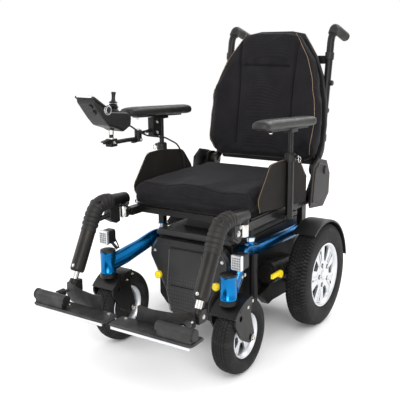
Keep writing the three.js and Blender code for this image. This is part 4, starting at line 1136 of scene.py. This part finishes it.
def pod(x, y, z):
    """A point in the pod's own frame, whose origin is under the stick."""
    ty = y * math.cos(POD_TILT) + z * math.sin(POD_TILT)
    tz = -y * math.sin(POD_TILT) + z * math.cos(POD_TILT)
    return at(POD_ORIGIN[0] + x, POD_ORIGIN[1] + ty, POD_ORIGIN[2] + tz)


POD_UP = (pod(0, 0, 1) - pod(0, 0, 0)).normalized()
POD_BACK = (pod(0, 1, 0) - pod(0, 0, 0)).normalized()


def pod_slab(solid, outline, half):
    """The pod's cross-section drawn out to half its width on either side."""
    return plate(solid, outline, pod(-half, 0, 0), POD_BACK, POD_UP, 2 * half)


def pod_housing():
    body, panel, glass = Solid(), Solid(), Solid()
    pod_slab(body, POD_BODY, 36)
    body.piece("pod_shell", "black_plastic", "joystick_arm", 0.0065, 20, ["joystick_pod"])
    pod_slab(panel, POD_PANEL, 38.4)
    panel.piece("pod_panel", "black_plastic", "joystick_arm", 0.0026, 20)
    pod_slab(glass, POD_GLASS, 29)
    glass.piece("pod_screen", "screen", "joystick_arm", 0.0008)
    silver, dials = Solid(), Solid()
    rim = [(-132.9, 57.5), (-130.6, 62.8), (-127, 64.4), (-126, 62.6), (-129.4, 61), (-131.4, 57)]
    pod_slab(silver, rim, 29)
    for x in (-1, 1):
        side = facing(Vector((x, 0, 0)))
        for radius, out in ((15.4, 36.0), (11.4, 38.2)):
            ring = [(radius - 2, -1), (radius, -1), (radius + 0.4, 1), (radius, 2.2), (radius - 2, 2.2)]
            revolve(silver, ring, side, pod(x * out, -66, 24), 44, True)
        dial = [(0, -2), (13.4, -2), (13.4, 2), (9.6, 4.6), (0, 4.6)]
        revolve(dials, dial, side, pod(x * 36, -66, 24), 36)
    for x in (-22, 22):
        key = [(0, 0), (5.2, 0), (5.2, 1.6), (4.2, 2.6), (0, 2.6)]
        revolve(dials, key, facing(POD_UP), pod(x, -40, 19), 24)
    for z in (6, 24):
        button = [(0, 0), (7.5, 0), (8.2, 1.2), (7, 3), (0, 3)]
        front = (POD_UP * -0.74 - POD_BACK * 0.67).normalized()
        revolve(dials, button, facing(front), pod(12, -94 - z * 0.9, z + 6), 24)
    silver.piece("pod_bright_trim", "alloy", "joystick_arm", 0.0006)
    dials.piece("pod_dials", "grip_rubber", "joystick_arm")


def joystick():
    pod_housing()
    boot, cap = Solid(), Solid()
    profile = [(0, 19.6), (28.6, 19.6), (29.4, 21), (27, 22), (22.5, 22), (21, 21.6), (18.7, 22.8),
               (16.8, 26.3), (14.5, 29), (10.2, 32.3), (5.3, 34.3), (0, 35)]
    revolve(boot, profile, facing(POD_UP), pod(0, 0, 0), 56)
    boot.piece("joystick_boot", "grip_rubber", "joystick_arm", 0, 60, ["joystick_gaiter"], slot="tyre_rubber")
    profile = [(0, 36.1), (5.6, 35.4), (10.8, 33.2), (14.6, 30.4), (16.5, 31.2), (17.4, 33), (14.2, 34.4),
               (16, 36.2), (15.2, 38), (12, 39), (13.6, 40.8), (12.6, 42.6), (8, 44), (0, 44.4)]
    revolve(cap, profile, facing(POD_UP), pod(0, 0, 0), 56)
    cap.piece("joystick_boot_cap", "grip_rubber", "stick", 0, 60, slot="tyre_rubber")
    reskin("joystick_gimbal", "alloy", 0.0004)
    stick = Solid()
    profile = [(0, 44.6), (12, 44.8), (14, 47), (12, 49.5), (7.6, 52), (5.8, 57), (5.6, 66), (6.6, 74),
               (7.6, 77), (6.8, 79.4), (4, 80), (0, 80)]
    revolve(stick, profile, facing(POD_UP), pod(0, 0, 0), 48)
    stick.piece("joystick_knob", "black_plastic", "stick", 0, 50, ["joystick_stick"])
    reskin("joystick_rod", "black_paint", 0.0016)
    reskin("joystick_swing", "black_paint", 0.0016)
    bright, wings, screws = Solid(), Solid(), Solid()
    bolt(bright, at(241, -455, 658, -1), (0, 0, 1), 9, 4)
    bolt(bright, at(229, -455, 646, -1), (1, 0, 0), 5, 3.4)
    bolt(bright, at(228.5, -322, 640, -1), (1, 0, 0), 4.6, 3.2)
    bar(bright, at(241, -455, 672, -1), at(241, -455, 685, -1), 8.4, 24)
    bright.piece("joystick_bolts", "steel", "joystick_arm")
    for y, z in ((-486, 651), (-340, 633)):
        paddle = [(-7, -12), (7, -12), (9, 12), (-9, 12)]
        plate(wings, paddle, at(241, y, z, -1), (1, 0, 0), (0, 1, 0.12), 4.5)
    wings.piece("joystick_wings", "black_plastic", "joystick_arm", 0.0014)
    for z in (656, 690):
        bolt(screws, at(230, -232, z, -1), (1, 0, 0), 4.6, 3)
    bolt(screws, at(241, -322, 672.4, -1), (0, 0, 1), 7, 4)
    bar(screws, at(229.4, -300, 661, -1), at(222.4, -300, 661, -1), 2, 12)
    screws.piece("joystick_holder_screws", "steel", "armrest_right")


# ---------------------------------------------------------------- the drive pack
def drive_pack():
    """The battery box with its shroud and lid, the gear motors and the yellow levers and knobs."""
    reskin("battery_box", "black_plastic", 0.002)
    reskin("battery_front", "battery_case", 0.002)
    reskin("battery_rear", "battery_case", 0.002)
    reskin("top_cover", "grey_plastic", 0.002)
    reskin("front_shroud", "shroud_plastic", 0.0016)
    screws, lines = Solid(), Solid()
    for x in (-118, 118):
        for y in (-330, 90):
            bolt(screws, at(x, y, 366.2), (0, 0, 1), 5, 3)
        bolt(screws, at(x * 1.07, -396.2, 300), (0, -1, 0), 4.4, 2.6)
    screws.piece("cover_screws", "steel", "chassis")
    # Painted highlight: pale grey cords along the shroud's creases and panel edge stand for light catching those
    # ridges.
    panel_edge = [(60, 316), (73, 172), (58, 120)]
    shroud_edge = [(116, 334), (140, 300), (141, 282), (80, 166), (73, 106)]
    for _, g in SIDES:
        for route, y, radius, sides in ((panel_edge, -408.4, 1.2, 10), (shroud_edge, -396.4, 0.8, 8)):
            path = line([(x, y, z) for x, z in route], g)
            sweep(lines, rounded_path(path, 0.012, 5), radius, sides)
    lines.piece("shroud_highlight_lines", "crease_highlight", "chassis")
    for side_name, g in SIDES:
        reskin("gear_motor_" + side_name, "black_paint", 0.002)
        reskin("tie_down_knob_" + side_name, "yellow_plastic", 0.0014)
        reskin("freewheel_lever_" + side_name, "yellow_plastic", 0.0014)
        fins = Solid()
        near, far = at(180, -50, 205, g), at(180, -205, 222, g)
        ring = [(35.5, -1.2), (37.4, -1), (37.4, 1), (35.5, 1.2)]
        for k in range(8):
            revolve(fins, ring, facing(far - near), near.lerp(far, 0.1 + 0.7 * k / 7), 48, True)
        bar(fins, at(180, -60, 206.2, g), at(180, -207, 222.2, g), 36.2, 48)
        fins.piece("motor_fins_" + side_name, "black_paint", "chassis")


# ---------------------------------------------------------------- soft goods
def soft_copy(node, name, shrink, voxel):
    """A remeshed copy of a plain CAD cushion, slightly smaller, with its edges relaxed."""
    mesh = NODES[node].data.copy()
    mesh.name = name
    piece = bpy.data.objects.new(name, mesh)
    bpy.context.scene.collection.objects.link(piece)
    drop_custom_normals(mesh)
    centre = middle(node)
    for vertex in mesh.vertices:
        vertex.co = centre + (vertex.co - centre) * shrink
    remesh = piece.modifiers.new("remesh", "REMESH")
    remesh.mode = "VOXEL"
    remesh.voxel_size = voxel
    relax = piece.modifiers.new("relax", "SMOOTH")
    relax.factor = 0.6
    relax.iterations = 9
    apply_all(piece)
    return piece


def apply_all(piece):
    """The evaluated mesh takes the place of the piece's mesh and modifiers."""
    graph = bpy.context.evaluated_depsgraph_get()
    mesh = bpy.data.meshes.new_from_object(piece.evaluated_get(graph))
    piece.modifiers.clear()
    piece.data = mesh


CLOTH_FRAMES = 20


def inflate(piece, cap):
    """Air pressure swells the cover. No point moves further than cap."""
    start = [v.co.copy() for v in piece.data.vertices]
    cloth = piece.modifiers.new("cloth", "CLOTH")
    settings = cloth.settings
    settings.quality = 4
    settings.use_pressure = True
    settings.uniform_pressure_force = 4
    settings.effector_weights.gravity = 0
    settings.tension_stiffness = 12
    settings.bending_stiffness = 2
    cloth.point_cache.frame_start = 1
    cloth.point_cache.frame_end = CLOTH_FRAMES
    for number in range(1, CLOTH_FRAMES + 1):
        bpy.context.scene.frame_set(number)
    apply_all(piece)
    bpy.context.scene.frame_set(1)
    for vertex, before in zip(piece.data.vertices, start):
        move = vertex.co - before
        if move.length > cap:
            vertex.co = before + move.normalized() * cap


def refine(piece):
    """One subdivision, so that seams can be drawn in finer than the cloth was simulated."""
    smooth = piece.modifiers.new("smooth", "SUBSURF")
    smooth.levels = smooth.render_levels = 1
    apply_all(piece)
    piece.data.update()


def finish_soft(piece, finish, body, node):
    piece.data.materials.clear()
    piece.data.materials.append(MATERIALS[finish])
    for polygon in piece.data.polygons:
        polygon.use_smooth = True
    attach(piece, body)
    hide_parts(node)


def segment_distance(p, a, b):
    """Distance of a flat point from a segment."""
    ab = b - a
    t = max(0, min(1, (p - a).dot(ab) / ab.length_squared))
    return (p - (a + ab * t)).length


def groove(p, lines, width, depth):
    """How deep a sewn channel pulls the cover in at a flat point."""
    near = min(segment_distance(p, Vector(a), Vector(b)) for route in lines for a, b in zip(route, route[1:]))
    return depth * math.exp(-(near / width) ** 2)


def keep_inside(piece, node, spare):
    low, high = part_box(node)
    for vertex in piece.data.vertices:
        for k in range(3):
            vertex.co[k] = max(low[k] - spare, min(high[k] + spare, vertex.co[k]))


def seat_cushion():
    piece = soft_copy("seat_cushion", "seat_cover", 0.985, 0.005)
    inflate(piece, 0.006)
    refine(piece)
    low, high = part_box("seat_cushion")
    depth, width, height = high.y - low.y, high.x, high.z - low.z
    for vertex in piece.data.vertices:
        v = vertex.co
        across, back = v.x / width, (v.y - low.y) / depth
        up = (v.z - low.z) / height
        if up > 0.45:
            share = min(1, (up - 0.45) / 0.4)
            crown = 0.004 * (1 - across * across) - 0.003
            troughs = 0.0065 * (math.cos(across * TAU) - 1) * math.exp(-((back - 0.02) / 0.32) ** 2)
            corner = 0.010 * max(0, abs(across) - 0.62) / 0.38 * math.exp(-(back / 0.16) ** 2)
            dish = -0.0035 * math.exp(-((back - 0.6) / 0.3) ** 2) * (1 - across * across)
            v.z += share * (crown + troughs - corner + dish)
        if back < 0.06:
            bulge = 0.004 * math.sin(math.pi * min(1, up * 1.15)) - 0.003
            crease = 0.0028 * math.exp(-((up - 0.36 - 0.05 * math.cos(across * 5)) / 0.07) ** 2)
            v.y -= bulge - crease
    smooth_noise(piece, 0.0016, 14.0, 3)
    keep_inside(piece, "seat_cushion", 0.002)
    finish_soft(piece, "fabric", "chassis", "seat_cushion")
    trims = Solid()
    for z in (0.452, 0.447):
        x, front, rear = 0.2125, low.y + 0.0035, low.y + 0.31
        corners = [(-x, rear, z), (-x, front, z), (x, front, z), (x, rear, z)]
        sweep(trims, rounded_path(corners, 0.02, 8), 1.3, 10)
    trims.piece("seat_piping", "seam_cord", "chassis")


def smooth_noise(piece, size, scale, seed):
    """Slight irregular fullness, so that no stretch of cover is quite flat."""
    shift = Vector((seed * 7.3, seed * 1.9, seed * 4.1))
    for vertex, normal in [(v, v.normal.copy()) for v in piece.data.vertices]:
        vertex.co += normal * size * noise.noise(vertex.co * scale + shift)


BACK_SEAMS = [
    [(-0.103, 0.452), (-0.098, 0.25), (-0.098, 0.07)],
    [(0.106, 0.452), (0.108, 0.25), (0.111, 0.07)],
    [(-0.078, 0.349), (0.084, 0.345)],
]
WING_LINE = [(0.098, 0.462), (0.126, 0.420), (0.155, 0.376), (0.182, 0.311), (0.200, 0.238), (0.206, 0.160),
             (0.203, 0.095), (0.192, 0.046)]


def back_local(point):
    """A scene point as (x, out, up) metres of the backrest."""
    p = point - lean(0, 0, 0)
    return Vector((p.x, p.dot(LEAN_BACK), p.dot(LEAN_UP)))


def back_cushion():
    piece = soft_copy("back_cushion", "back_cover", 0.992, 0.005)
    inflate(piece, 0.006)
    refine(piece)
    for vertex in piece.data.vertices:
        q = back_local(vertex.co)
        shoulder = max(0, min(1, (q.z - 0.27) / 0.12))
        vertex.co.x *= 1.015 + 0.055 * shoulder * shoulder * (3 - 2 * shoulder)
        if q.y > 0.004:
            continue
        share = min(1, (0.004 - q.y) / 0.02)
        flat = Vector((q.x, q.z))
        pull = groove(flat, BACK_SEAMS, 0.0036, 0.0078)
        soft = groove(flat, BACK_SEAMS, 0.02, 0.0045)
        crown = 0.0035 * max(0, 1 - (q.x / 0.1) ** 2) * max(0, math.sin(math.pi * min(1, max(0, q.z / 0.46))))
        vertex.co += LEAN_BACK * share * (pull + soft - crown)
    smooth_noise(piece, 0.0018, 13.0, 5)
    finish_soft(piece, "fabric", "backrest", "back_cushion")
    surface = BVHTree.FromObject(piece, bpy.context.evaluated_depsgraph_get())
    piping, stitches = Solid(), Solid()
    for _, g in SIDES:
        route = [onto(surface, g * x, up, 0.0004) for x, up in dense_flat(WING_LINE)]
        sweep(piping, smooth_points(route), 1.0, 8)
    piping.piece("back_piping", "piping", "backrest")
    for seam in BACK_SEAMS:
        route = [onto(surface, x, up, -0.0006) for x, up in dense_flat(seam)]
        sweep(stitches, smooth_points(route), 1.1, 8)
    stitches.piece("back_seams", "seam_cord", "backrest")


def dense_flat(points, spacing=0.006):
    dense = [points[0]]
    for a, b in zip(points, points[1:]):
        a, b = Vector(a), Vector(b)
        steps = max(1, round((b - a).length / spacing))
        dense += [tuple(a.lerp(b, k / steps)) for k in range(1, steps + 1)]
    return dense


def onto(surface, x, up, lift):
    """The point of the cover in front of (x, up) on the backrest."""
    start = lean(0, 0, 0) + Vector((x, 0, 0)) + LEAN_UP * up - LEAN_BACK * 0.3
    hit = surface.ray_cast(start, LEAN_BACK)[0]
    if hit is None:
        hit = start + LEAN_BACK * 0.28
    return hit - LEAN_BACK * lift


def smooth_points(points, rounds=3):
    for _ in range(rounds):
        inner = [(a + b * 2 + c) / 4 for a, b, c in zip(points, points[1:], points[2:])]
        points = [points[0]] + inner + [points[-1]]
    return points


def arm_pad(side_name, g):
    """The padded armrest on its post, with the two screws under it."""
    node = "arm_pad_" + side_name
    body = "armrest_" + side_name
    piece = soft_copy(node, "arm_cover_" + side_name, 0.985, 0.004)
    inflate(piece, 0.0016)
    refine(piece)
    low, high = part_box(node)
    centre = (low + high) / 2
    half = (high.x - low.x) / 2
    for vertex in piece.data.vertices:
        v = vertex.co
        across = (v.x - centre.x) / half
        front = (v.y - low.y) / (high.y - low.y)
        if v.z > centre.z:
            v.z += 0.0022 * (1 - across * across) - 0.003 * math.exp(-(front / 0.12) ** 2)
    smooth_noise(piece, 0.0005, 30.0, 9)
    keep_inside(piece, node, 0.0015)
    finish_soft(piece, "arm_foam", body, node)
    reskin("arm_post_" + side_name, "black_paint", 0.0014)
    screws = Solid()
    lift = 0 if g > 0 else 18
    for y, z in ((-320, 690.6), (-96, 691.8)):
        bolt(screws, at(245, y, z + lift, g), (0, 0, -1), 4.6, 3.4)
    screws.piece("arm_pad_screws_" + side_name, "steel", body)


# ---------------------------------------------------------------- put it together
frame_pieces()
drive_pack()
seat_metal()
back_metal()
joystick()
for side_name, g in SIDES:
    drive_wheel(side_name, g)
    caster(side_name, g)
    bellows(side_name, g)
    hanger(side_name, g)
    leg(side_name, g)
    footplate(side_name, g)
    lamp(side_name, g)
    side_panels(side_name, g)
    smooth_fender(side_name, g)
    grip(side_name, g)
seat_cushion()
back_cushion()
for side_name, g in SIDES:
    arm_pad(side_name, g)


# ---------------------------------------------------------------- stage
FLOOR = 9


def make_stage():
    """A white floor that reaches FLOOR metres each way, in a white world."""
    mesh = bpy.data.meshes.new("floor")
    corners = [(-FLOOR, -FLOOR, 0), (FLOOR, -FLOOR, 0), (FLOOR, FLOOR, 0), (-FLOOR, FLOOR, 0)]
    mesh.from_pydata(corners, [], [(0, 1, 2, 3)])
    floor = bpy.data.objects.new("floor", mesh)
    bpy.context.scene.collection.objects.link(floor)
    s = Shader("floor")
    s.set(Base_Color=(1, 1, 1, 1), Roughness=1.0, Specular_IOR_Level=0.0)
    mesh.materials.append(s.material)
    world = bpy.data.worlds.new("studio")
    world.use_nodes = True
    background = world.node_tree.nodes["Background"]
    background.inputs["Color"].default_value = (1, 1, 1, 1)
    background.inputs["Strength"].default_value = 1.0
    bpy.context.scene.world = world
    bpy.context.scene.view_settings.view_transform = "Standard"


def area_light(name, place, target, size, power):
    """A rectangular light: size in metres and power in watts."""
    data = bpy.data.lights.new(name, "AREA")
    data.shape = "RECTANGLE"
    data.size, data.size_y = size
    data.energy = power
    light = bpy.data.objects.new(name, data)
    bpy.context.scene.collection.objects.link(light)
    light.location = place
    aim = Vector(target) - Vector(place)
    light.rotation_euler = aim.to_track_quat("-Z", "Y").to_euler()


make_stage()
area_light("key", (2.4, -2.2, 2.8), (0, 0, 0.4), (2.2, 2.2), 60)
area_light("fill", (-2.8, -1.6, 1.8), (0, 0, 0.4), (2.4, 2.0), 30)
area_light("rim", (0.4, 2.8, 2.4), (0, 0, 0.6), (2.6, 1.2), 40)
area_light("front", (1.5, -3.4, 0.9), (0, -0.3, 0.4), (1.6, 1.2), 34)
